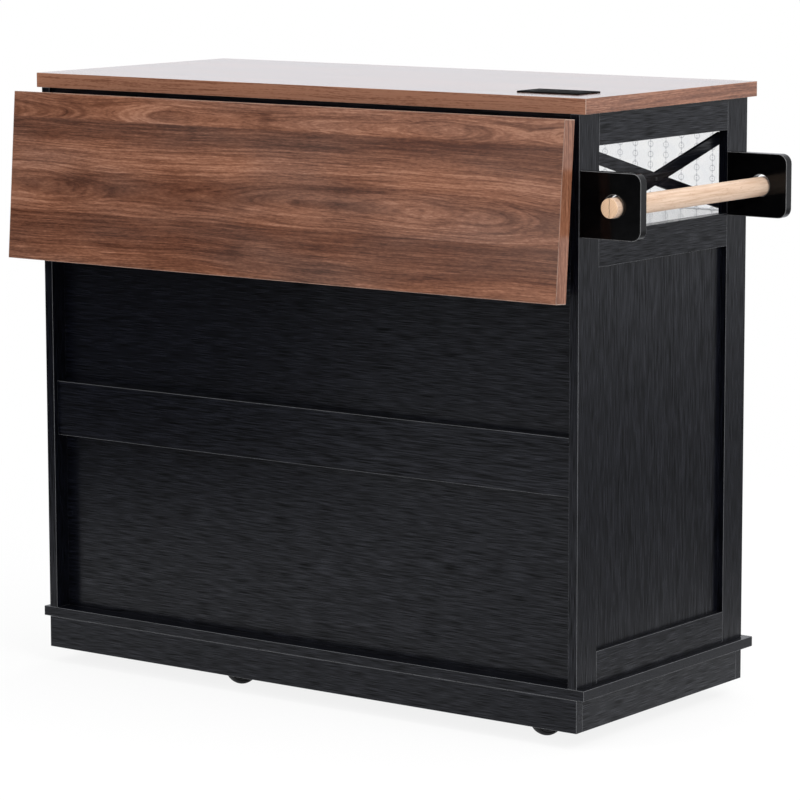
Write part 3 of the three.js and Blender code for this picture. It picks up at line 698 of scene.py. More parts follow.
@dataclass(frozen=True)
class Walnut:
    """Satin walnut with its grain along one axis.

    bands holds tones, 0 dark and 1 pale, at places from 0 to 1 across a board whose edges are low
    and high on the across axis.
    """

    name: str
    along: Axis = Axis.X
    across: Axis = Axis.Y
    low: float = 0.0
    high: float = 1.0
    bands: tuple[tuple[float, float], ...] = ((0.0, 0.5), (1.0, 0.5))
    strips: tuple[Strip, ...] = (Strip(),)
    knots: tuple[Knot, ...] = ()
    shift: float = 0.0
    seed: float = 0.0
    coat: float = 0.0
    figure: float = 1.0  # share of the slow changes in tone and of the grey tint

    def material(self) -> bpy.types.Material:
        """Makes the material.

        A growth ring is where the distance from the log's heart is the same: the square root of the
        squared distance across plus the squared depth. That distance is swayed by slow noise and
        pushed aside round each knot. Tones from the bands, from noise of the distance at four
        widths, from thin dark lines where one noise passes its middle, and from the knots add up.
        A warm and a grey ramp turn the sum into colour, mixed by slow noise.

        Returns:
            The material.
        """
        r = Recipe.named(self.name)
        spot = r.place()
        seed = self.seed
        along, across = spot[self.along.value], spot[self.across.value]
        third = spot[3 - self.along.value - self.across.value]
        level = (across - self.low) / (self.high - self.low)
        log_, heart, depth, roll = self.by_strip(level)
        shade: Value = 0.0
        lift: Value = 0.0
        for knot in self.knots:
            du, dv = (along - knot.along) / knot.length, (across - knot.across) / knot.height
            eye = (du * du + dv * dv).dome()
            shade = eye * knot.depth + shade
            lift = eye * dv * knot.push + lift
        sway = (r.noise(r.vector(along * 2.6 + seed, log_, seed), 1.5) - 0.5) * (16 * MM)
        ripple = (r.noise(r.vector(along * 9, across * 36, seed + 4), 2.0) - 0.5) * (3.4 * MM)
        under = depth + (r.noise(r.vector(along * 3.2 + seed, log_ + 3.0, seed), 1.0) - 0.5) * roll
        aside = (level - heart) * (self.high - self.low) + sway + ripple + lift
        ring = (aside * aside + under * under) ** 0.5 + log_

        def drawn(length_rate: float, ring_rate: float, offset: float, detail: float) -> Field:
            """Noise drawn out along the grain.

            Args:
                length_rate: patches per metre along the grain.
                ring_rate: patches per metre across the growth rings.
                offset: sets this noise apart from the others.
                detail: how many finer layers it has.

            Returns:
                The noise, from 0 to 1.
            """
            return r.noise(r.vector(
                along * length_rate + (seed + offset), ring * ring_rate,
                third * ring_rate * 0.5 + offset), detail, 0.55)

        def patches(length_rate: float, width_rate: float, offset: float, detail: float) -> Field:
            """Soft patches on the face, the same way as the noise above but not following the rings."""
            return r.noise(r.vector(along * length_rate + seed, across * width_rate, log_ + offset), detail)

        broad = drawn(1.6, 40, 1.0, 2.0) - 0.5
        medium = drawn(2.4, 130, 2.0, 2.0) - 0.5
        fine = drawn(6, 400, 3.0, 2.0) - 0.5
        hair = drawn(22, 900, 5.0, 1.0) - 0.5
        lines = 1.0 - abs(drawn(3.5, 150, 7.0, 1.0) - 0.5).rise(0.0, 0.045)
        growth = ((ring * 230 + broad * 9 + medium * 3) % 1.0) ** 3
        season = patches(4, 20, 21.0, 1.0).rise(0.42, 0.62)
        cloud = patches(5, 16, 9.0, 2.0) - 0.5
        fleck = r.noise(r.vector(along * 110, across * 520, third * 520), 2.0, 0.6) - 0.5
        pores = drawn(36, 1000, 11.0, 1.0).rise(0.60, 0.70)
        slow = (broad * 0.6 + cloud * 0.35) * self.figure
        tone = r.ramp(level, self.bands) + slow + medium * 0.74 + fine * 0.95 + hair * 0.75 + fleck * 0.8
        tone = tone - lines * 0.15 - growth * season * 0.2 - shade - pores * 0.16 + (self.shift - 0.02)
        chill = patches(3.4, 13, 15.0, 2.0).rise(0.32, 0.74)
        colour = r.blend(chill * self.figure, r.ramp(tone, WARM_TONES), r.ramp(tone, GREY_TONES))
        # painted highlight: a pale tone on the crests of the rounded edges
        colour = r.blend(r.rub() * (0.55 + hair), colour, WALNUT_EDGE_HIGHLIGHT)
        grain = fine + hair * 0.6 - pores
        return r.finished(r.surface(
            base_color=colour, roughness=0.20 + fine * 0.08, specular_ior_level=0.45, coat_weight=self.coat,
            coat_roughness=0.12, normal=r.bump(grain, 0.00005, 0.6)))

    def by_strip(self, level: Field) -> list[Value]:
        """Values that step from one strip to the next.

        Args:
            level: the point's place across the board, from 0 to 1.

        Returns:
            A number for the log, the heart's place, and its depth and how much that changes.
        """
        apart = 31.7  # of the logs in the noise, so that no two are alike
        rows = [(apart * i, strip.heart, strip.depth, strip.roll) for i, strip in enumerate(self.strips)]
        values: list[Value] = list(rows[0])
        for strip, before, after in zip(self.strips[1:], rows, rows[1:]):
            past = level > strip.start
            values = [past * (new - old) + value for value, old, new in zip(values, before, after)]
        return values


@dataclass(frozen=True)
class EmbossedBlack:
    """Satin black foil with a fine embossed grain along one axis."""

    name: str
    along: Axis
    seed: float
    hollow: Colour = (0.0002, 0.0003, 0.0006)
    ridge: Colour = (0.0049, 0.0056, 0.0098)
    # painted highlight on the crests of the rounded edges
    edge_highlight_tone: Colour = (0.155, 0.158, 0.166)

    def material(self) -> bpy.types.Material:
        """Makes the material.

        Noises drawn out along the grain, about 1 mm and 6 mm wide, give the height of the emboss. Its
        hollows are darker than its ridges and take less of the thin lacquer.

        Returns:
            The material.
        """
        r = Recipe.named(self.name)
        spot = r.place()

        def drawn(along: float, across: float, offset: float, detail: float) -> Field:
            """Noise drawn out along the grain.

            Args:
                along: patches per metre along the grain.
                across: patches per metre across it.
                offset: sets this noise apart from the other.
                detail: how many finer layers it has.

            Returns:
                The noise, from 0 to 1.
            """
            rates = [along if axis is self.along else across for axis in Axis]
            shifted = [part * rate + (self.seed + offset) for part, rate in zip(spot, rates)]
            return r.noise(r.vector(*shifted), detail, 0.6)

        fine = drawn(26, 960, 0.0, 1.0)
        slow = drawn(6, 170, 4.0, 2.0)
        relief = fine * 0.9 + slow * 0.1
        colour = r.ramp(relief, [(0.37, self.hollow), (0.66, self.ridge)])
        # painted highlight: a grey tone on the crests of the rounded edges
        colour = r.blend(r.rub() * (0.5 + slow), colour, self.edge_highlight_tone)
        return r.finished(r.surface(
            base_color=colour, roughness=0.36 - relief * 0.14, specular_ior_level=0.06,
            coat_weight=(relief - 0.27) * 1.42, coat_roughness=0.21, normal=r.bump(relief, 0.00016, 0.8)))


@dataclass(frozen=True)
class GlossBlack:
    """Smooth black lacquer, with a faint ripple and a grey highlight painted on the crests of its edges."""

    name: str
    coat: float = 0.0
    dark: Colour = (0.0007, 0.0007, 0.0008)
    pale: Colour = (0.0017, 0.0017, 0.0019)
    # painted highlight on the crests of the edges
    edge_highlight_tone: Colour = (0.27, 0.27, 0.275)

    def material(self) -> bpy.types.Material:
        """Makes the material from slow and fine noise in the lacquer's colour, roughness and height.

        Returns:
            The material.
        """
        r = Recipe.named(self.name)
        spot = r.place()
        cloud = r.speckle(spot, 60, 3.0, 0.6)
        speck = r.speckle(spot, 900, 1.0)
        colour = r.ramp(cloud, [(0.3, self.dark), (0.7, self.pale)])
        # painted highlight: a grey tone on the crests of the rounded edges
        colour = r.blend(r.rub() * (0.5 + cloud), colour, self.edge_highlight_tone)
        return r.finished(r.surface(
            base_color=colour, roughness=0.10 + cloud * 0.05, specular_ior_level=0.18,
            coat_weight=self.coat, coat_roughness=0.1,
            normal=r.bump(cloud * 0.8 + speck * 0.2, 0.00008, 0.35)))


@dataclass(frozen=True)
class TurnedBeech:
    """Plain pale dowel, with its grain along Y and end grain on its two ends."""

    name: str
    middle: tuple[float, float]  # of the dowel, in X and Z
    ends: tuple[float, float]  # its ends in Y
    heart: tuple[float, float] = (20 * MM, -12 * MM)  # of the tree, in X and Z from the dowel's middle
    ring_pitch: float = 2.1 * MM
    skin: float = 0.4 * MM  # how deep an end's finish reaches

    def material(self) -> bpy.types.Material:
        """Makes the material.

        Along the dowel, noise drawn out in Y gives the grain and short dark flecks. On the ends, the
        distance from the tree's heart gives rings, and a narrow upright line makes a crack.

        Returns:
            The material.
        """
        r = Recipe.named(self.name)
        x, y, z = r.place()
        grain = r.noise(r.vector(x * 260, y * 9, z * 260), 3.0, 0.6)
        fine = r.noise(r.vector(x * 1400, y * 40, z * 1400), 1.0)
        fleck = r.noise(r.vector(x * 700, y * 110, z * 700), 1.0).rise(0.64, 0.70)
        length = r.ramp(grain * 0.75 + fine * 0.25, [
            (0.28, (0.44, 0.28, 0.18)), (0.5, (0.59, 0.425, 0.315)), (0.72, (0.72, 0.56, 0.44))])
        side = r.blend(fleck * 0.4, length, (0.36, 0.21, 0.12))
        off_x, off_z = x - (self.middle[0] + self.heart[0]), z - (self.middle[1] + self.heart[1])
        sway = (r.noise(r.vector(x * 120, 0.0, z * 120)) - 0.5) * (2 * MM)
        ring = (off_x * off_x + off_z * off_z) ** 0.5 + sway
        rings = (ring * (math.tau / self.ring_pitch)).sine() * 0.5 + 0.5
        cell = r.noise(r.vector(x * 1800, 0.0, z * 1800), 2.0)
        end = r.ramp(rings * 0.45 + cell * 0.55, [
            (0.2, (0.40, 0.23, 0.13)), (0.5, (0.70, 0.46, 0.29)), (0.85, (0.86, 0.66, 0.47))])
        lean = (x - self.middle[0]) + (r.noise(r.vector(0.0, 0.0, z * 160)) - 0.5) * (3 * MM)
        crack = 1.0 - abs(lean).rise(0.3 * MM, 0.9 * MM)
        end = r.blend(crack * 0.75, end, (0.10, 0.05, 0.028))
        middle_y, half = sum(self.ends) / 2, (self.ends[1] - self.ends[0]) / 2
        is_end = abs(y - middle_y) > half - self.skin
        relief = r.blend(is_end, grain * 0.6 + fine * 0.4, cell * (1.0 - crack))
        return r.finished(r.surface(
            base_color=r.blend(is_end, side, end), roughness=0.52 + grain * 0.12, specular_ior_level=0.35,
            normal=r.bump(relief, 0.00015, 0.5)))


@dataclass(frozen=True)
class PatternedGlass:
    """Frosted white glass with a plain printed pattern of broken lines and empty rings."""

    name: str
    start: float  # X of one printed line
    middle: float  # Z of the middle ring
    face: float  # Y, before which lies the printed face
    pitch: float = 27 * MM
    ring_pitch: float = 15.5 * MM
    ring_radius: float = 4.3 * MM
    dash_pitch: float = 3.1 * MM
    print_colour: Colour = (0.10, 0.11, 0.14)

    def material(self) -> bpy.types.Material:
        """Makes the material.

        The distance to the nearest line is X folded at half the pitch, and the distance to the
        nearest ring's middle is that with Z folded at half the rings' pitch. Print shows where one
        is less than a line's width, or the other is near the ring's radius, and a wave along Z
        breaks the lines into dashes.

        Returns:
            The material.
        """
        r = Recipe.named(self.name)
        spot = x, y, z = r.place()
        aside = abs((x - self.start) % self.pitch - self.pitch / 2)
        column = self.pitch / 2 - aside
        level = self.ring_pitch / 2 - abs((z - self.middle) % self.ring_pitch - self.ring_pitch / 2)
        out = (column * column + level * level) ** 0.5
        ring = 1.0 - abs(out - self.ring_radius).rise(0.3 * MM, 0.65 * MM)
        line = 1.0 - column.rise(0.4 * MM, 0.7 * MM)
        dashes = (z * (math.tau / self.dash_pitch)).sine() > -0.2
        printed = (line * dashes).most(ring * 0.8) * (y < self.face)
        cloud = r.speckle(spot, 40, 3.0)
        frost = r.speckle(spot, 2600, 1.0)
        plain = r.ramp(cloud, [(0.3, (0.94, 0.95, 0.97)), (0.7, (1.0, 1.0, 1.0))])
        colour = r.blend(printed, plain, self.print_colour)
        return r.finished(r.surface(
            base_color=colour, roughness=0.14 + printed * 0.3 + frost * 0.08, ior=1.3,
            transmission_weight=0.93, normal=r.bump(frost, 0.00003, 0.4)))


@dataclass(frozen=True)
class MouldedBlack:
    """Black plastic or rubber with a fine spark texture."""

    name: str
    tone: float
    roughness: float
    grain: float = 1500.0  # the texture's specks per metre
    gloss: float = 0.35

    def material(self) -> bpy.types.Material:
        """Makes the material from two noises, one for the mould's texture and one for handling.

        Returns:
            The material.
        """
        r = Recipe.named(self.name)
        spot = r.place()
        spark = r.speckle(spot, self.grain, 2.0, 0.6)
        wear_and_edge_highlight = r.speckle(spot, 70, 3.0)
        colour = r.ramp(wear_and_edge_highlight, [(0.3, (self.tone * 0.7,) * 3), (0.75, (self.tone * 1.7,) * 3)])
        return r.finished(r.surface(
            base_color=colour, roughness=self.roughness + wear_and_edge_highlight * 0.16, specular_ior_level=self.gloss,
            normal=r.bump(spark, 0.00006, 0.5)))


@dataclass(frozen=True)
class PaintedSteel:
    """Black powder coat, or bare plated steel, with orange peel and rubbed spots."""

    name: str
    tone: Colour = (0.005, 0.005, 0.0055)
    metallic: float = 0.0
    roughness: float = 0.38
    gloss: float = 0.4

    def material(self) -> bpy.types.Material:
        """Makes the material from an orange peel height and slow wear in tone and roughness.

        Returns:
            The material.
        """
        r = Recipe.named(self.name)
        spot = r.place()
        peel = r.speckle(spot, 750, 1.0)
        wear_and_edge_highlight = r.speckle(spot, 90, 4.0, 0.65)
        dark, pale = (tuple(part * share for part in self.tone) for share in (0.75, 1.5))
        colour = r.ramp(wear_and_edge_highlight, [(0.3, dark), (0.72, pale)])
        return r.finished(r.surface(
            base_color=colour, roughness=self.roughness + wear_and_edge_highlight * 0.15, metallic=self.metallic,
            specular_ior_level=self.gloss, normal=r.bump(peel, 0.00005, 0.5)))


class Finishes:
    """All the finishes, made once and shared by the pieces."""

    def __init__(self) -> None:
        """Starts with none made."""
        self.made: dict["Finish", bpy.types.Material] = {}

    def of(self, finish: "Finish") -> bpy.types.Material:
        """The material of a finish, made the first time that it is asked for."""
        if finish not in self.made:
            self.made[finish] = finish.material()
        return self.made[finish]


Finish = Walnut | EmbossedBlack | GlossBlack | TurnedBeech | PatternedGlass | MouldedBlack | PaintedSteel
finishes = Finishes()
UPRIGHT_BLACK = EmbossedBlack("black_board_upright", Axis.Z, 3.0)
LENGTHWISE_BLACK = EmbossedBlack("black_board_lengthwise", Axis.X, 11.0)
CROSSWISE_BLACK = EmbossedBlack("black_board_crosswise", Axis.Y, 23.0)
GLOSS = GlossBlack("rack_lacquer")
SHELF_FACE = GlossBlack("shelf_lacquer", 1.0)
PLASTIC = MouldedBlack("outlet_plastic", 0.0035, 0.75, gloss=0.05)
# dark plates over the slots and ports: painted shade standing for their openings
PAINTED_SLOT_SHADE = MouldedBlack("outlet_recess", 0.0015, 0.7)
RUBBER = MouldedBlack("wheel_tread", 0.009, 0.6, 900.0)
HUB = MouldedBlack("wheel_hub", 0.007, 0.4)
STEEL = PaintedSteel("black_powder_coat")
# darker, less glossy copy of the black powder coat for the leaf brackets; its darker tone is painted shade
# for their place under the leaf
DULL_SHADED_STEEL = PaintedSteel("bracket_powder_coat", (0.0012, 0.0012, 0.0013), 0.0, 0.5, 0.08)
PLATED = PaintedSteel("plated_steel", (0.52, 0.51, 0.49), 1.0, 0.28)


class Slot(Enum):
    """The record's material slots."""

    WALNUT = "walnut_board"
    BOARD = "black_board"
    GLOSS = "gloss_black"
    BEECH = "beech"
    GLASS = "patterned_glass"
    PLASTIC = "black_plastic"
    WHEEL = "caster_wheel"
    STEEL = "black_steel"


# ------------------------------------------------------------------------------------------------
# Pieces
# ------------------------------------------------------------------------------------------------


def add_piece(
    name: str, surface: Surface, finish: Finish, body: str, replaced: Sequence[str] = (),
) -> None:
    """Makes a piece from a surface, finishes it and lets it ride on its body.

    Args:
        name: the piece's name.
        surface: its shape, in place.
        finish: its finish.
        body: the body it moves with.
        replaced: frame nodes that it stands for.
    """
    mesh = bpy.data.meshes.new(name)
    faces = [tuple(quad[:3]) if quad[2] == quad[3] else tuple(quad) for quad in surface.faces.tolist()]
    mesh.from_pydata(surface.points.tolist(), [], faces)
    mesh.shade_smooth()
    if surface.normals is None:
        mesh.set_sharp_from_angle(angle=SHARP_EDGE)
    else:
        mesh.normals_split_custom_set_from_vertices(surface.normals.tolist())
    mesh.materials.append(finishes.of(finish))
    # each point's share of the painted edge highlight, which the materials read
    if surface.rub is not None:
        rub = mesh.attributes.new("rub", "FLOAT", "POINT")
        rub.data.foreach_set("value", surface.rub.astype(np.float32))
    made = bpy.data.objects.new(name, mesh)
    bpy.context.scene.collection.objects.link(made)
    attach(made, body)
    if replaced:
        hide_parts(*replaced)
    log.info("%s on %s, %d faces", name, body, len(faces))


def dress_node(node: str, finish: Finish) -> None:
    """Gives a frame node that shows as it is its finish.

    Args:
        node: the node's name.
        finish: its finish.
    """
    carried = frame["nodes"][node]
    carried.data.materials.clear()
    carried.data.materials.append(finishes.of(finish))
    log.info("%s dressed with %s", node, finish.name)


def add_board(node: str, finish: Finish, radius: float) -> None:
    """Stands a board with rounded edges in place of a node of the cabinet that is a plain board.

    Args:
        node: the frame node.
        finish: the board's finish.
        radius: the rounding of its edges.
    """
    board = rounded_board(*corners_of(node), radius)
    add_piece(f"{node}_board", board, finish, "cabinet", [node])


@dataclass(frozen=True)
class Screws:
    """Cross head screws of one size, all facing the same way."""

    radius: float = 3.6 * MM
    height: float = 1.7 * MM
    first_turn: float = 17.0  # degrees that the first recess is turned by
    next_turn: float = 41.0  # and each one after it by this much more

    def surface(self, seats: Sequence[Sequence[float]], direction: Sequence[float]) -> Surface:
        """Heads at their seats, each turned a little further than the one before it.

        Args:
            seats: the middles of the faces that the heads sit on.
            direction: the way that the heads face.

        Returns:
            The heads as one surface.
        """
        heads = []
        for count, seat in enumerate(seats):
            angle = math.radians(self.first_turn + self.next_turn * count)
            cosine, sine = math.cos(angle), math.sin(angle)
            spin = np.array([[cosine, -sine, 0], [sine, cosine, 0], [0, 0, 1]])
            heads.append(cross_head(self.radius, self.height).placed(pointing(direction) @ spin, seat))
        return Surface.joined(heads)


# ------------------------------------------------------------------------------------------------
# Worktop, outlet and leaf
# ------------------------------------------------------------------------------------------------


@dataclass
class BandedBoard:
    """A board of pressed stock, with a face on both sides and thin bands glued to its four edges.

    The corners are those of the whole board. The long bands run over the ends of the short ones, and
    their cut ends at the board's corners take the full pale tone of the painted edge highlight.
    """

    name: str
    low: np.ndarray
    high: np.ndarray
    band: float = 0.9 * MM
    radius: float = 0.7 * MM
    panel_radius: float = 0.15 * MM

    def panel(self, hole: tuple[np.ndarray, np.ndarray] | None = None) -> Surface:
        """The board between its bands, with an upright square hole if one is given.

        Args:
            hole: the hole's lowest and highest corners in X and Y.

        Returns:
            The panel.
        """
        low, high = self.low + [self.band, self.band, 0], self.high - [self.band, self.band, 0]
        if hole is None:
            return rounded_board(low, high, self.panel_radius)
        eye, half = ((hole[0] + hole[1]) / 2)[:2], (hole[1] - hole[0])[:2] / 2
        loop = seen_from(rectangle_outline((high - low)[:2]) + ((low + high) / 2)[:2], eye)
        ray = loop - eye
        edge = eye + ray / np.max(np.abs(ray) / half, axis=1, keepdims=True)
        return plate(loop, edge, (high - low)[2], self.panel_radius).moved([0, 0, low[2]])

    def bands(self) -> dict[str, Surface]:
        """Makes the four bands.

        Returns:
            Each band by the side of the board that it is on.
        """
        low, high, band = self.low, self.high, self.band
        bands = {
            "rear_band": rounded_board([low[0], high[1] - band, low[2]], high, self.radius),
            "front_band": rounded_board(low, [high[0], low[1] + band, high[2]], self.radius),
            "rack_end_band": rounded_board(
                [low[0], low[1] + band, low[2]], [low[0] + band, high[1] - band, high[2]], self.radius),
            "far_end_band": rounded_board(
                [high[0] - band, low[1] + band, low[2]], [high[0], high[1] - band, high[2]], self.radius),
        }
        # the cut ends get the full painted highlight tone
        for side in ("rear_band", "front_band"):
            cut_end = np.abs(bands[side].normals[:, 0]) > 0.9
            bands[side].rub = np.where(cut_end, 1.0, bands[side].rub)
        return bands


@dataclass
class Worktop:
    """The fixed top, with its rebated cut-out for the outlet."""

    flange_gap: float = 0.3 * MM

    def build(self) -> None:
        """Builds the panel and its four edge bands."""
        low, high = corners_of("worktop")
        outlet_low, outlet_high = corners_of("outlet_module")
        hole = (outlet_low - self.flange_gap, outlet_high + self.flange_gap)
        board = BandedBoard("worktop", low, high)
        top = Walnut(
            "worktop_walnut", low=low[1], high=high[1], seed=5.0, coat=0.6,
            strips=(
                Strip(0.0, 0.12, 20 * MM, 80 * MM), Strip(0.27, 0.42, 14 * MM, 70 * MM),
                Strip(0.55, 0.62, 30 * MM, 80 * MM), Strip(0.80, 0.93, 12 * MM, 60 * MM)),
            bands=(
                (0.0, 0.48), (0.26, 0.40), (0.28, 0.60), (0.42, 0.50), (0.54, 0.36), (0.56, 0.56),
                (0.70, 0.50), (0.79, 0.34), (0.81, 0.60), (1.0, 0.52)),
            knots=(Knot(0.2, -0.12, 0.05, 0.012, 0.2, 0.008), Knot(-0.18, 0.1, 0.04, 0.01, 0.14, 0.006)))
        add_piece("worktop_panel", board.panel(hole), top, "cabinet", ["worktop"])
        # painted light: the long bands are toned much paler (shift 0.56) than the end bands (0.23), so that
        # the rear face, lit less than the rack end, shows about as bright
        lengthwise = Walnut(
            "worktop_band_walnut", across=Axis.Z, low=low[2], high=high[2], strips=STRAIGHT, shift=0.56,
            figure=0.2, seed=31.0)
        crosswise = Walnut(
            "worktop_end_band_walnut", along=Axis.Y, across=Axis.Z, low=low[2], high=high[2], strips=STRAIGHT,
            shift=0.23, figure=0.3, seed=53.0)
        for side, surface in board.bands().items():
            finish = crosswise if "end" in side else lengthwise
            add_piece(f"worktop_{side}", surface, finish, "cabinet", ["worktop"])


@dataclass
class PowerOutlet:
    """Flush outlet: a flange round two three-pin faces and two small charging ports."""

    corner: float = 3 * MM
    flange_edge: float = 0.8 * MM
    flange_depth: float = 3.5 * MM
    box_rounding: float = 1.5 * MM
    face_size: tuple[float, float] = (34 * MM, 34 * MM)
    face_places: tuple[float, ...] = (-30 * MM, 8 * MM)  # along the flange from its middle
    face_corner: float = 5 * MM
    ports_place: float = 38 * MM
    port_size: tuple[float, float] = (5.5 * MM, 13 * MM)
    port_corner: float = 0.5 * MM
    port_step: float = 9 * MM  # of each port from the middle
    blade_size: tuple[float, float] = (1.9 * MM, 7.5 * MM)
    blade_corner: float = 0.4 * MM
    blade_place: tuple[float, float] = (6.35 * MM, 3 * MM)  # of a blade slot from its face's middle
    earth_size: float = 5 * MM
    earth_corner: float = 2.4 * MM
    earth_drop: float = 8 * MM
    lip: float = 4 * MM  # of the flange past the box under it
    proud: float = 0.25 * MM
    slot_shade_depth: float = 0.3 * MM
    slot_shade_proud: float = 0.05 * MM

    def build(self) -> None:
        """Builds the flange, the box under it, the faces with their slots, and the ports."""
        low, high = corners_of("outlet_module")
        middle, top = (low + high) / 2, high[2]
        shelf = top - self.flange_depth
        outline = rectangle_outline((high - low)[:2], self.corner)
        flange = plate(outline, None, self.flange_depth, self.flange_edge).moved([*middle[:2], shelf])
        inset = np.array([self.lip, self.lip, 0])
        box = rounded_board(low + inset, [*(high - inset)[:2], shelf], self.box_rounding)
        body = Surface.joined([flange, box])
        add_piece("outlet_flange", body, PLASTIC, "cabinet", ["outlet_module"])
        faces, slots = [], []
        face_outline = rectangle_outline(self.face_size, self.face_corner)
        for place in self.face_places:
            centre = np.array([middle[0] + place, middle[1], top])
            face = plate(face_outline, None, 2 * self.proud, self.proud)
            faces.append(face.moved(centre - [0, 0, self.proud]))
            slots += self.pin_slots(centre + [0, 0, self.proud])
        for step in (-self.port_step, self.port_step):
            centre = np.array([middle[0] + self.ports_place, middle[1] + step, top])
            slots.append(self.slot(centre, self.port_size, self.port_corner))
        add_piece("outlet_faces", Surface.joined(faces), PLASTIC, "cabinet")
        add_piece("outlet_slots", Surface.joined(slots), PAINTED_SLOT_SHADE, "cabinet")

    def slot(self, centre: np.ndarray, size: Sequence[float], corner: float) -> Surface:
        """A dark plate that stands a hair above the face round it: painted shade that stands for the slot's
        opening.

        Args:
            centre: the slot's middle on the face.
            size: its size along X and Y.
            corner: its corners' radius.

        Returns:
            The dark plate.
        """
        slot_shade = plate(rectangle_outline(size, corner, 3), None, self.slot_shade_depth, self.slot_shade_proud)
        return slot_shade.moved(centre - [0, 0, self.slot_shade_depth - self.slot_shade_proud])

    def pin_slots(self, centre: np.ndarray) -> list[Surface]:
        """The two blade slots and the round earth hole of one face.

        Args:
            centre: the face's middle.

        Returns:
            The three dark plates.
        """
        aside, up = self.blade_place
        blades = [
            self.slot(centre + [step * aside, up, 0], self.blade_size, self.blade_corner) for step in (-1, 1)]
        earth = self.slot(centre - [0, self.earth_drop, 0], [self.earth_size] * 2, self.earth_corner)
        return [*blades, earth]


@dataclass
class DropLeaf:
    """The leaf, made level about its pivot and then swung down to where it hangs."""

    pivot: np.ndarray = field(init=False)
    swing: np.ndarray = field(init=False)

    def __post_init__(self) -> None:
        """Reads the pivot and the angle down to where the leaf hangs."""
        joint = joint_of("leaf_swing")
        self.pivot = np.array(joint["pos_m"])
        angle = math.radians(joint["range_deg"][1])
        cosine, sine = math.cos(angle), math.sin(angle)
        self.swing = np.array([[1, 0, 0], [0, cosine, -sine], [0, sine, cosine]])

    def hung(self, surface: Surface) -> Surface:
        """Swings a surface that is drawn level down to where the leaf hangs."""
        down = self.swing.T
        return surface.placed(down, self.pivot - down @ self.pivot)

    def level_box(self, node: str) -> tuple[np.ndarray, np.ndarray]:
        """Corners of a frame node of this body with the leaf level.

        Args:
            node: the node's name.

        Returns:
            Its lowest and highest corners.
        """
        mesh = frame["nodes"][node].data
        spots = np.empty(len(mesh.vertices) * 3, np.float32)
        mesh.vertices.foreach_get("co", spots)
        level = (spots.reshape(-1, 3) - self.pivot) @ self.swing.T + self.pivot
        return level.min(axis=0), level.max(axis=0)

    def build(self) -> None:
        """Builds the panel and its edge bands."""
        low, high = self.level_box("drop_leaf")
        board = BandedBoard("drop_leaf", low, high)
        bottom, top = (corner[2] for corner in corners_of("drop_leaf"))
        figure = Walnut(
            "leaf_walnut", across=Axis.Z, low=bottom, high=top, seed=2.0,
            strips=(
                Strip(0.0, -0.04, 30 * MM, 24 * MM), Strip(0.304, 0.45, 34 * MM, 26 * MM),
                Strip(0.853, 0.90, 14 * MM, 50 * MM)),
            bands=(
                (0.0, 0.50), (0.10, 0.48), (0.20, 0.42), (0.300, 0.37), (0.310, 0.68), (0.37, 0.68),
                (0.42, 0.56), (0.53, 0.50), (0.57, 0.70), (0.66, 0.74), (0.71, 0.60), (0.77, 0.42),
                (0.848, 0.32), (0.856, 0.72), (0.93, 0.68), (1.0, 0.64)),
            knots=(
                Knot(0.41, bottom + 0.127, 0.045, 0.010, 0.42, 0.009),
                Knot(0.33, bottom + 0.116, 0.06, 0.014, 0.14, -0.004),
                Knot(0.06, bottom + 0.112, 0.05, 0.020, 0.16, 0.004),
                Knot(-0.28, bottom + 0.120, 0.028, 0.012, 0.14, 0.004),
                Knot(0.058, top - 19 * MM, 0.012, 0.008, 0.34, 0.003),
                Knot(-0.30, top - 21 * MM, 0.010, 0.005, 0.28, 0.002),
                Knot(0.36, top - 8 * MM, 0.035, 0.008, 0.18, 0.002),
                Knot(0.195, top - 48 * MM, 0.008, 0.016, 0.16),
                Knot(0.108, bottom + 0.041, 0.016, 0.012, 0.30, 0.003),
                Knot(-0.04, bottom + 0.054, 0.012, 0.008, 0.18, 0.002),
                Knot(-0.36, bottom + 0.03, 0.13, 0.035, 0.15),
                Knot(-0.10, bottom + 0.115, 0.08, 0.02, 0.11)))
        add_piece("leaf_panel", self.hung(board.panel()), figure, "leaf", ["drop_leaf"])
        lengthwise = Walnut(
            "leaf_band_walnut", across=Axis.Y, low=0.19, high=0.28, strips=STRAIGHT, shift=0.25, figure=0.4,
            seed=61.0)
        upright = Walnut(
            "leaf_end_band_walnut", along=Axis.Z, across=Axis.Y, low=0.19, high=0.28, strips=STRAIGHT,
            shift=0.22, figure=0.4, seed=74.0, knots=(Knot(bottom + 0.14, 0.25, 0.03, 0.012, 0.16),))
        for side, surface in board.bands().items():
            finish = upright if "end" in side else lengthwise
            add_piece(f"leaf_{side}", self.hung(surface), finish, "leaf", ["drop_leaf"])


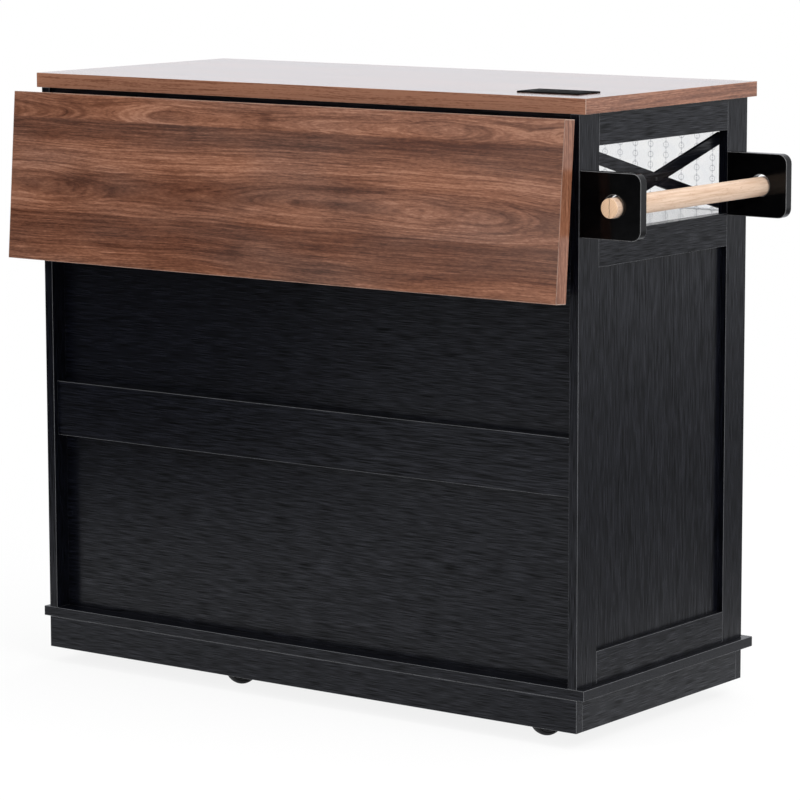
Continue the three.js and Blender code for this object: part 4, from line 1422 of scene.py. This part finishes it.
@dataclass
class LeafBracket:
    """One folding bracket: the fixed plate with its ears, the arm under the leaf and the stay."""

    side: str
    leaf: DropLeaf
    pin_head: float = 5 * MM
    pin_head_height: float = 1.6 * MM
    ears: float = 16 * MM  # from the bracket's middle to the ears' outer faces
    plate_thickness: float = 2.5 * MM
    arm_thickness: float = 2 * MM
    plate_screws: tuple[float, ...] = (28 * MM, 56 * MM)  # below the pivot
    arm_screws: tuple[float, ...] = (50 * MM, 130 * MM, 222 * MM)  # along the arm

    def build(self) -> None:
        """Dresses the three steel parts and adds the pins' heads and the screws."""
        names = [f"{self.side}_leaf_{part}" for part in ("bracket", "arm", "stay")]
        for name in names:
            dress_node(name, DULL_SHADED_STEEL)
        low, high = corners_of(names[0])
        middle, face = (low[0] + high[0]) / 2, low[1] + self.plate_thickness
        seats = [(middle, face, self.leaf.pivot[2] - drop) for drop in self.plate_screws]
        screws = Screws().surface(seats, (0, 1, 0))
        add_piece(f"{self.side}_bracket_screws", screws, PLATED, "cabinet")
        rise = self.pin_head_height
        dome = turned([(0, 0), *rounded_corner(rise, 0, (self.pin_head - rise, 0.0)), (0, rise)], 24)
        heads = [
            dome.placed(pointing((way, 0, 0)), (middle + way * self.ears, pin[1], pin[2]))
            for pin in (self.leaf.pivot, joint_of(f"{self.side}_stay_swing")["pos_m"]) for way in (-1, 1)]
        add_piece(f"{self.side}_bracket_pin_heads", Surface.joined(heads), PLATED, "cabinet")
        arm_low, arm_high = self.leaf.level_box(names[1])
        under = arm_high[2] - self.arm_thickness
        seats = [(middle, arm_low[1] + reach, under) for reach in self.arm_screws]
        screws = Screws().surface(seats, (0, 0, -1))
        add_piece(f"{self.side}_arm_screws", self.leaf.hung(screws), PLATED, "leaf")


# ------------------------------------------------------------------------------------------------
# Cabinet
# ------------------------------------------------------------------------------------------------


@dataclass
class EndFrame:
    """One end: stiles, rails, the sunk lower panel, and the crossed bars in its window with their screw."""

    name: str
    radius: float = 0.8 * MM
    screw: Screws = Screws(2.8 * MM, 1.2 * MM)

    def build(self) -> None:
        """Builds the boards, each with its grain along its length, and dresses the crossed bars."""
        for part in ("rear_stile", "front_stile", "lower_panel"):
            add_board(f"{self.name}_{part}", UPRIGHT_BLACK, self.radius)
        for part in ("top_rail", "mid_rail", "bottom_rail"):
            add_board(f"{self.name}_{part}", CROSSWISE_BLACK, self.radius)
        for part in ("falling", "rising"):
            dress_node(f"{self.name}_cross_bar_{part}", CROSSWISE_BLACK)
        low, high = corners_of(f"{self.name}_cross_bar_rising")
        outer, way = (low[0], -1) if self.name == "rack_end" else (high[0], 1)
        seat = (outer, (low[1] + high[1]) / 2, (low[2] + high[2]) / 2)
        screw = self.screw.surface([seat], (way, 0, 0))
        add_piece(f"{self.name}_cross_bar_screw", screw, STEEL, "cabinet")


@dataclass
class Carcass:
    """Base, plinth, shelves, divider and back."""

    radius: float = 0.9 * MM
    sheet_radius: float = 0.4 * MM
    pin_radius: float = 2.5 * MM
    pin_reach: float = 9 * MM
    pin_bevel: float = 0.6 * MM
    pin_gap: float = 0.1 * MM  # to the shelf over it
    pin_depths: tuple[float, ...] = (60 * MM, 300 * MM)  # from the shelf's front edge
    lengthwise: tuple[str, ...] = (
        "base_board", "plinth_rear", "plinth_front", "inner_shelf", "back_top_rail", "back_mid_rail")
    crosswise: tuple[str, ...] = ("plinth_rack_end", "plinth_far_end")

    def build(self) -> None:
        """Builds the boards, dresses the two grooved ones and adds the inner shelf's pins."""
        for node in self.lengthwise:
            add_board(node, LENGTHWISE_BLACK, self.radius)
        for node in self.crosswise:
            add_board(node, CROSSWISE_BLACK, self.radius)
        add_board("divider", UPRIGHT_BLACK, self.radius)
        add_board("back_sheet", LENGTHWISE_BLACK, self.sheet_radius)
        dress_node("middle_shelf", SHELF_FACE)
        dress_node("front_track_rail", LENGTHWISE_BLACK)
        self.shelf_pins()

    def shelf_pins(self) -> None:
        """Adds the four steel pins that carry the inner shelf."""
        low, high = corners_of("inner_shelf")
        level = low[2] - self.pin_radius - self.pin_gap
        pin = bevelled_pin(self.pin_radius, self.pin_reach, self.pin_bevel)
        pins = [
            pin.placed(pointing((way, 0, 0)), (end, low[1] + depth, level))
            for end, way in ((low[0], 1), (high[0], -1)) for depth in self.pin_depths]
        add_piece("shelf_pins", Surface.joined(pins), PLATED, "cabinet")


@dataclass
class GlassPane:
    """One sliding pane with polished edges and a finger hole."""

    name: str
    side: int  # -1 where its finger hole is at the -X end
    hole_radius: float = 12 * MM
    hole_inset: float = 34 * MM
    hole_rise: float = 25 * MM  # of its middle over the shelf
    print_inset: float = 7 * MM
    edge: float = 0.5 * MM

    def build(self) -> None:
        """Builds the pane as a plate that stands upright, with its print."""
        node = f"{self.name}_glass_pane"
        low, high = corners_of(node)
        shelf = corners_of("middle_shelf")[1][2]
        window_middle = (corners_of("rack_end_top_rail")[0][2] + shelf) / 2
        outer = low[0] if self.side < 0 else high[0]
        eye = np.array([outer - self.side * self.hole_inset, shelf + self.hole_rise])
        outline = rectangle_outline((high - low)[::2]) + ((low + high) / 2)[::2]
        pane = holed_plate(outline, eye, self.hole_radius, high[1] - low[1], self.edge)
        glass = PatternedGlass(
            "printed_glass", low[0] + self.print_inset, window_middle, (low[1] + high[1]) / 2)
        add_piece(
            f"{self.name}_pane_glass", pane.placed(UPRIGHT, [0, high[1], 0]), glass,
            f"{self.name}_pane", [node])


@dataclass
class Door:
    """One door: two stiles, two rails and a sunk panel, its knob and its pivot pins."""

    name: str
    frame_width: float = 56 * MM
    recess: float = 5 * MM
    radius: float = 0.8 * MM
    pin_radius: float = 2 * MM
    pin_length: float = 4 * MM
    pin_bevel: float = 0.4 * MM
    knob_foot: float = 7.5 * MM  # radii of the knob's foot, stem and rounding
    knob_stem: float = 5.5 * MM
    knob_rounding: float = 2 * MM
    knob_foot_height: float = 1.2 * MM
    knob_head: float = 9 * MM  # the head's height
    knob_neck: float = 10 * MM  # what the stem is shorter than the knob by
    knob_dish: tuple[float, float] = (4 * MM, 0.4 * MM)  # its edge inside the head's, and its depth

    def build(self) -> None:
        """Builds the door's boards, its pins and its knob."""
        body = f"{self.name}_door"
        low, high = corners_of(body)
        bottom, top = low[2] + self.pin_length, high[2] - self.pin_length
        front, back = low[1], high[1]
        inner_low, inner_high = low[0] + self.frame_width, high[0] - self.frame_width
        sill, head = bottom + self.frame_width, top - self.frame_width
        boards = {
            "left_stile": ([low[0], front, bottom], [inner_low, back, top], UPRIGHT_BLACK),
            "right_stile": ([inner_high, front, bottom], [high[0], back, top], UPRIGHT_BLACK),
            "bottom_rail": ([inner_low, front, bottom], [inner_high, back, sill], LENGTHWISE_BLACK),
            "top_rail": ([inner_low, front, head], [inner_high, back, top], LENGTHWISE_BLACK),
            "panel": ([inner_low, front + self.recess, sill], [inner_high, back, head], UPRIGHT_BLACK),
        }
        for part, (start, end, finish) in boards.items():
            board = rounded_board(start, end, self.radius)
            add_piece(f"{body}_{part}", board, finish, body, [body])
        self.pins(body, bottom, top)
        self.knob(body)

    def pins(self, body: str, bottom: float, top: float) -> None:
        """Adds the pivot pins in the door's ends.

        Args:
            body: the door's body.
            bottom: its lower edge.
            top: its upper edge.
        """
        x, y = joint_of(f"{body}_swing")["pos_m"][:2]
        pin = bevelled_pin(self.pin_radius, self.pin_length, self.pin_bevel)
        ends = ((bottom, -1), (top, 1))
        pins = Surface.joined(pin.placed(pointing((0, 0, way)), (x, y, level)) for level, way in ends)
        add_piece(f"{body}_pivot_pins", pins, PLATED, body)

    def knob(self, body: str) -> None:
        """Turns the knob: a foot, a waisted stem and a flat round head.

        Along the stem, the radius falls off from the foot by the cube of what is left of the way, and
        grows to the head by the fifth power of the way gone.

        Args:
            body: the door's body.
        """
        low, high = corners_of(f"{body}_knob")
        radius, reach = (high[0] - low[0]) / 2, high[1] - low[1]
        foot, stem, rounding = self.knob_foot, self.knob_stem, self.knob_rounding
        inset, depth = self.knob_dish
        rim, head, dish = radius - rounding, reach - self.knob_head, reach - depth
        way = np.linspace(0, 1, 9)
        radii = stem + (foot - stem) * (1 - way) ** 3 + (rim - stem) * way ** 5
        waist = zip(radii, self.knob_foot_height + way * (reach - self.knob_neck))
        profile = [
            (0, 0), (foot, 0), *waist, *rounded_corner(rounding, -90, (rim, head + rounding), 4),
            *rounded_corner(rounding, 0, (rim, reach - rounding), 4), (radius - inset, dish), (0, dish)]
        seat = ((low[0] + high[0]) / 2, high[1], (low[2] + high[2]) / 2)
        surface = turned(profile, 56).placed(pointing((0, -1, 0)), seat)
        add_piece(f"{body}_turned_knob", surface, STEEL, body, [f"{body}_knob"])


# ------------------------------------------------------------------------------------------------
# Towel rack and casters
# ------------------------------------------------------------------------------------------------


@dataclass
class TowelRack:
    """Two plates on the end frame and the loose dowel that lies in their holes."""

    corner: float = 14 * MM
    inner_corner: float = 0.8 * MM
    edge: float = 1.0 * MM
    hole_radius: float = 16 * MM
    dowel_reach: float = 56 * MM  # from the end frame to the dowel's middle
    dowel_rounding: float = 1.2 * MM

    def build(self) -> None:
        """Builds both plates and the dowel."""
        for row in ("rear", "front"):
            self.plate(f"rack_{row}_plate")
        low, high = corners_of("towel_dowel")
        radius, half = (high[0] - low[0]) / 2, (high[1] - low[1]) / 2
        middle, soft = (low + high) / 2, self.dowel_rounding
        profile = [
            (0, -half), *rounded_corner(soft, -90, (radius - soft, soft - half)),
            *rounded_corner(soft, 0, (radius - soft, half - soft)), (0, half)]
        dowel = turned(profile, 64).placed(pointing((0, 1, 0)), middle)
        finish = TurnedBeech("turned_beech", (middle[0], middle[2]), (low[1], high[1]))
        add_piece("towel_dowel_bar", dowel, finish, "dowel", ["towel_dowel"])

    def plate(self, node: str) -> None:
        """Builds one plate: square against the end frame, rounded at its free corners.

        Args:
            node: the frame node that it stands for.
        """
        low, high = corners_of(node)
        size, middle = (high - low)[::2], ((low + high) / 2)[::2]
        whole = rectangle_outline(size, self.corner)
        square = np.split(rectangle_outline(size, self.inner_corner), 4)
        outline = np.concatenate([square[0], whole[whole[:, 0] < 0], square[3]]) + middle
        eye = np.array([high[0] - self.dowel_reach, middle[1]])
        board = holed_plate(outline, eye, self.hole_radius, high[1] - low[1], self.edge, turns=64, steps=3)
        add_piece(
            f"{node}_board", board.placed(UPRIGHT, [0, high[1], 0]), GLOSS, "cabinet", [node])


@dataclass
class Caster:
    """One swivel caster: fork with its bearing, and a wheel on an axle bolt."""

    place: str
    wheel_width: float = 20 * MM
    leg: float = 2.5 * MM
    leg_radius: float = 8 * MM  # about the axle
    leg_edge: float = 0.5 * MM
    leg_reach: tuple[float, float] = (-8.5 * MM, 4 * MM)  # at the head: past the swivel and past the axle
    clearance: float = 1.5 * MM  # of the wheel to each leg
    head_gap: float = 0.3 * MM  # of the head to the base board
    head_radius: float = 17 * MM
    head_foot: float = 15.5 * MM  # radius of its flat underside
    head_height: float = 3 * MM
    race_height: float = 3.4 * MM
    stem_radius: float = 5 * MM
    tread: float = 5 * MM
    washer: tuple[float, float] = (5.2 * MM, 0.9 * MM)  # radius and height
    bolt: tuple[float, float] = (4.4 * MM, 2.6 * MM)

    def build(self) -> None:
        """Builds the fork and the wheel in the direction that the wheel trails."""
        body, node = f"{self.place}_fork", f"{self.place}_caster_fork"
        swivel = np.array(joint_of(f"{self.place}_swivel")["pos_m"])
        axle = np.array(joint_of(f"{self.place}_roll")["pos_m"])
        top = corners_of("base_board")[0][2] - self.head_gap
        level = np.array([1, 1, 0])
        trail = (axle - swivel) * level
        distance = float(np.linalg.norm(trail))
        along = trail / distance
        across = np.cross([0, 0, 1], along)
        turn = np.stack([along, across, [0, 0, 1]], axis=1)
        stem_top = corners_of(node)[1][2]
        fork = Surface.joined(self.fork(distance, axle[2], top, stem_top)).placed(turn, swivel * level)
        add_piece(f"{self.place}_caster_steel_fork", fork, STEEL, body, [node])
        bolts = Surface.joined(
            self.bolt_head().placed(pointing(way * across), axle + way * across * self.half_width())
            for way in (-1, 1))
        add_piece(f"{self.place}_caster_axle_bolt", bolts, PLATED, body)
        self.wheel(axle, across)

    def half_width(self) -> float:
        """Half the fork's width over its two legs."""
        return self.wheel_width / 2 + self.clearance + self.leg

    def fork(self, distance: float, axle_height: float, top: float, stem_top: float) -> list[Surface]:
        """Head with its bearing ring, stem and the two legs, with the wheel trailing along +X.

        Args:
            distance: swivel axis to the axle.
            axle_height: the axle's height.
            top: the head's top face.
            stem_top: the stem's end.

        Returns:
            The parts.
        """
        head_low = top - self.head_height
        lower, upper = 1.2 * MM, 1.0 * MM  # roundings of the head's two edges
        head = turned([
            (0, head_low), (self.head_foot, head_low),
            *rounded_corner(lower, -90, (self.head_radius - lower, head_low + lower)),
            *rounded_corner(upper, 0, (self.head_radius - upper, top - upper)), (0, top)], 40)
        race_low, race_top, soft = head_low - self.race_height, head_low + 0.5 * MM, 1.6 * MM
        race = turned([
            (0, race_low), *rounded_corner(soft, -90, (10 * MM, race_low + 1.6 * MM)), (11 * MM, race_top),
            (0, race_top)], 40)
        foot, bevel = top - 1 * MM, 1 * MM
        stem = turned([
            (0, foot), (self.stem_radius, foot), (self.stem_radius, stem_top - bevel),
            (self.stem_radius - bevel, stem_top), (0, stem_top)], 24)
        outline = self.leg_outline(distance, axle_height, head_low + 0.4 * MM)
        side = plate(outline, None, self.leg, self.leg_edge)
        half = self.half_width()
        legs = [side.placed(UPRIGHT, [0, start, 0]) for start in (half, self.leg - half)]
        behind, past = self.leg_reach
        bridge = rounded_board([behind, -half, head_low], [distance + past, half, top], 0.8 * MM)
        return [head, race, stem, bridge, *legs]

    def leg_outline(self, distance: float, axle_height: float, top: float) -> np.ndarray:
        """A leg from the side: wide at the head and round about the axle, anticlockwise.

        Its rear edge runs level in equal steps, and its height grows by the power of 0.8 of the way.

        Args:
            distance: swivel axis to the axle.
            axle_height: the axle's height.
            top: the leg's top.

        Returns:
            The outline in X and Z.
        """
        radius, (behind, past) = self.leg_radius, self.leg_reach
        angles = np.linspace(math.pi, math.tau, 15)
        arc = [distance + radius * np.cos(angles), axle_height + radius * np.sin(angles)]
        sweep = np.linspace(1, 0, 7)[:-1]
        rear = [
            distance - radius + sweep * (radius - distance + behind),
            axle_height + (top - axle_height) * sweep ** 0.8]
        return np.concatenate([np.stack(rear, axis=1), np.stack(arc, axis=1), [[distance + past, top]]])

    def bolt_head(self) -> Surface:
        """Makes a six-sided bolt head on a washer.

        Returns:
            The two, with their seat on z = 0.
        """
        radius, rise = self.washer
        washer = turned([
            (0, 0), (radius, 0), (radius, rise - 0.2 * MM), (radius - 0.3 * MM, rise), (0, rise)], 30)
        size, height = self.bolt
        angles = np.arange(6) * math.pi / 3
        hexagon = size * np.stack([np.cos(angles), np.sin(angles)], axis=1)
        head = plate(hexagon, None, height, 0.4 * MM).moved([0, 0, rise - 0.3 * MM])
        return Surface.joined([washer, head])

    def wheel(self, axle: np.ndarray, across: np.ndarray) -> None:
        """Turns the wheel: a rubber tread on a dished hub, each with both its sides the same.

        The tread's radius falls off by the cube of the distance from its middle.

        Args:
            axle: the wheel's middle.
            across: the axle's direction.
        """
        radius, half = axle[2], self.wheel_width / 2
        inner, rim, web, boss = radius - self.tread, half - 0.3 * MM, half - 3 * MM, half + 0.6 * MM
        crown = [(radius - 2.2 * MM * abs(s) ** 3, s * (half - 1 * MM)) for s in np.linspace(-1, 1, 13)]
        cheek = [(0, rim - 3 * MM), (inner - 0.2 * MM, rim - 3 * MM), (inner, rim)]
        dish = [
            (0, boss), (5.5 * MM, boss), (6 * MM, boss - 0.5 * MM), (6.4 * MM, half - 2.4 * MM),
            (8 * MM, web), (15.5 * MM, web), (16.6 * MM, half - 1.2 * MM), (19 * MM, half - 0.9 * MM),
            (19.6 * MM, half - 1.6 * MM)]
        parts = (("tread", cheek, crown, 72, RUBBER), ("hub", dish, [], 56, HUB))
        for part, side, middle, sides, finish in parts:
            profile = [*[(r, -z) for r, z in side], *middle, *side[::-1]]
            surface = turned(profile, sides).placed(pointing(across), axle)
            add_piece(
                f"{self.place}_caster_{part}", surface, finish, f"{self.place}_wheel",
                [f"{self.place}_caster_wheel"])


# ------------------------------------------------------------------------------------------------
# Studio
# ------------------------------------------------------------------------------------------------


@dataclass
class Lamp:
    """A soft square lamp, placed by the way it lies from the island's middle."""

    name: str
    azimuth: float  # degrees from +X towards +Y
    elevation: float
    distance: float
    size: float
    power: float
    target: tuple[float, float, float] = (0.0, 0.0, 0.5)
    mirrored: bool = True  # whether it shows in reflections

    def add(self) -> None:
        """Adds the lamp, facing its target."""
        light = bpy.data.lights.new(self.name, "AREA")
        light.energy, light.size = self.power, self.size
        lamp = bpy.data.objects.new(self.name, light)
        azimuth, elevation = math.radians(self.azimuth), math.radians(self.elevation)
        level = math.cos(elevation)
        way = np.array([level * math.cos(azimuth), level * math.sin(azimuth), math.sin(elevation)])
        spot = np.array(self.target) + self.distance * way
        turn = np.eye(4)
        turn[:3, :3], turn[:3, 3] = pointing(way), spot
        lamp.matrix_world = Matrix(turn.tolist())
        lamp.visible_glossy = self.mirrored
        bpy.context.scene.collection.objects.link(lamp)


@dataclass
class Studio:
    """Pale floor, white surroundings, soft lamps and the camera."""

    spot: tuple[float, float, float] = (-3.2865, 4.4430, 1.2701)
    heading: float = 143.471  # degrees from +Y towards +X
    tilt: float = 8.586  # degrees below level
    roll: float = -0.113
    lens: float = 167.55
    sensor: float = 36.0
    clip: tuple[float, float] = (0.1, 100.0)  # nearest and furthest that the camera sees
    floor_size: float = 40.0
    floor_tone: Colour = (0.92, 0.92, 0.92)
    ambient: float = 0.5
    shadow: float = 0.14  # share of the floor's shadow that shows
    shadow_end: tuple[float, float] = (0.9, 2.2)  # distances from the island over which it fades
    cool: Colour = (0.94, 0.955, 1.0)  # of the surroundings in reflections
    dark_from: tuple[float, float] = (0.05, 0.2)  # the rear face's middle
    dark_heading: float = 30.0  # degrees from +X towards +Y
    dark_reach: tuple[float, float] = (20.0, 28.0)  # degrees to either side, to where it is full and nil
    dark_start: tuple[float, float] = (1.1, 2.5)  # distances where the floor starts to dim and is dark
    dark_rise: tuple[float, float] = (0.10, 0.45)  # sines of the elevations over which it clears
    dark_share: float = 0.97
    sky_share: float = 0.95  # of the surroundings on that side
    paper: tuple[float, float] = (3.6, 6.0)  # Y where the white paper's end starts and is full
    paper_share: float = 0.95
    around: tuple[float, float] = (1.8, 3.2)  # distances from the island over which the floor dims
    around_from: tuple[float, float] = (-0.6, 0.6)  # Y where that starts and is full
    around_share: float = 0.3
    beside: tuple[float, float, float, float] = (0.55, 0.9, 1.6, 4.6)  # -X where it dims and clears again
    beside_share: float = 0.66
    lamps: tuple[Lamp, ...] = (
        Lamp("key", 165, 40, 3.2, 2.0, 62),
        Lamp("fill", 75, 30, 3.6, 2.4, 42, mirrored=False),
        Lamp("front", -90, 38, 3.4, 2.4, 42, mirrored=False),
        Lamp("overhead", 0, 89, 3.0, 2.6, 40),
    )

    def build(self) -> None:
        """Builds the floor, the surroundings, the lamps and the camera."""
        self.floor()
        self.surroundings()
        for lamp in self.lamps:
            lamp.add()
        self.camera()
        bpy.context.scene.view_settings.view_transform = "Standard"

    def seen_directly(self, tree: Recipe) -> Field:
        """1 for rays from the camera, from a reflection or through glass, else 0."""
        camera, glossy, through = (self.is_ray(tree, kind) for kind in ("Camera", "Glossy", "Transmission"))
        return camera.most(glossy).most(through)

    def seen_reflected(self, tree: Recipe) -> Field:
        """1 for rays from a reflection, else 0, also for those that pass through rough glass."""
        return self.is_ray(tree, "Glossy") * (1.0 - self.is_ray(tree, "Transmission"))

    def is_ray(self, tree: Recipe, kind: str) -> Field:
        """1 for rays of that kind, else 0."""
        return tree.node("ShaderNodeLightPath", output=f"Is {kind} Ray")

    def to_dark_side(self, x: Field, y: Field) -> Field:
        """1 where a level direction points to the studio's dark side, with a soft end on both sides.

        Args:
            x: the direction's part along X.
            y: its part along Y.

        Returns:
            The share of dark, read from the cosine of the angle between the two.
        """
        heading = math.radians(self.dark_heading)
        full, nil = (math.cos(math.radians(angle)) for angle in self.dark_reach)
        return (x * math.cos(heading) + y * math.sin(heading)).rise(nil, full)

    def floor(self) -> None:
        """Lays the floor, which shows white and keeps a share of the island's shadow.

        In reflections, the floor is dimmer away from the island and beyond its rack end, and dim in a
        wide wedge to one side and past the end of the studio's white paper.
        """
        half = self.floor_size / 2
        mesh = bpy.data.meshes.new("floor")
        corners = [(-half, -half, 0), (half, -half, 0), (half, half, 0), (-half, half, 0)]
        mesh.from_pydata(corners, [], [(0, 1, 2, 3)])
        r = Recipe.named("studio_floor")
        x, y, _ = r.place()
        dx, dy = x - self.dark_from[0], y - self.dark_from[1]
        away = (dx * dx + dy * dy) ** 0.5
        wedge = self.to_dark_side(dx / away, dy / away) * away.rise(*self.dark_start) * self.dark_share
        past_paper = y.rise(*self.paper) * self.paper_share
        around = away.rise(*self.around) * y.rise(*self.around_from) * self.around_share
        start, full, fade, end = self.beside
        beside = (-x).rise(start, full) * (self.beside_share - (-x).rise(fade, end) * self.beside_share)
        strength = 1.0 - self.seen_reflected(r) * wedge.most(past_paper).most(around).most(beside)
        distance = (x * x + y * y) ** 0.5
        clean = distance.rise(*self.shadow_end)
        share = self.seen_directly(r) * (1.0 - self.shadow + clean * self.shadow)
        matt = r.node("ShaderNodeBsdfDiffuse", inputs={"Color": (*self.floor_tone, 1)})
        tint = r.blend(self.seen_reflected(r), (1.0, 1.0, 1.0), self.cool)
        white = r.node("ShaderNodeEmission", inputs={"Color": tint, "Strength": strength})
        mesh.materials.append(r.finished(r.node("ShaderNodeMixShader", inputs={0: share, 1: matt, 2: white})))
        floor = bpy.data.objects.new("floor", mesh)
        bpy.context.scene.collection.objects.link(floor)

    def surroundings(self) -> None:
        """Sets a white background and a plain level of light from all round.

        In reflections, the background is dim low down on the dark side, as beside a studio's backdrop.
        """
        world = bpy.data.worlds.new("studio")
        bpy.context.scene.world = world
        r = Recipe(world)
        way = r.node("ShaderNodeTexCoord", output="Generated")
        x, y, z = (r.node("ShaderNodeSeparateXYZ", inputs={0: way}, output=i) for i in range(3))
        dim = self.to_dark_side(x, y) * (1.0 - abs(z).rise(*self.dark_rise))
        shown = 1.0 - self.seen_reflected(r) * dim * self.sky_share
        strength = (self.seen_directly(r) * (1.0 - self.ambient) + self.ambient) * shown
        tint = r.blend(self.seen_reflected(r), (1.0, 1.0, 1.0), self.cool)
        r.finished(r.node("ShaderNodeBackground", inputs={"Color": tint, "Strength": strength}))

    def camera(self) -> None:
        """Places the camera at the photograph's viewing angle."""
        data = bpy.data.cameras.new("camera")
        data.lens, data.sensor_width = self.lens, self.sensor
        data.clip_start, data.clip_end = self.clip
        heading, tilt, roll = map(math.radians, (self.heading, self.tilt, self.roll))
        level = math.cos(tilt)
        ahead = np.array([math.sin(heading) * level, math.cos(heading) * level, -math.sin(tilt)])
        right = np.cross(ahead, [0, 0, 1])
        right /= np.linalg.norm(right)
        up = np.cross(right, ahead)
        turn = np.eye(4)
        turn[:3, 0] = math.cos(roll) * right + math.sin(roll) * up
        turn[:3, 1] = math.cos(roll) * up - math.sin(roll) * right
        turn[:3, 2], turn[:3, 3] = -ahead, self.spot
        camera = bpy.data.objects.new("camera", data)
        camera.matrix_world = Matrix(turn.tolist())
        bpy.context.scene.collection.objects.link(camera)
        bpy.context.scene.camera = camera


def main() -> None:
    """Builds the island's sub-assemblies and the studio."""
    logging.basicConfig(level=logging.INFO, format="%(name)s: %(message)s")
    Studio().build()
    Worktop().build()
    PowerOutlet().build()
    leaf = DropLeaf()
    leaf.build()
    for side in ("rack", "far"):
        LeafBracket(side, leaf).build()
    for name in ("rack_end", "far_end"):
        EndFrame(name).build()
    Carcass().build()
    for name, side in (("front", -1), ("rear", 1)):
        GlassPane(name, side).build()
    for name in ("rack", "middle", "far"):
        Door(name).build()
    TowelRack().build()
    for column in ("rack", "middle", "far"):
        for row in ("rear", "front"):
            Caster(f"{column}_{row}").build()


if __name__ == "__main__":
    main()
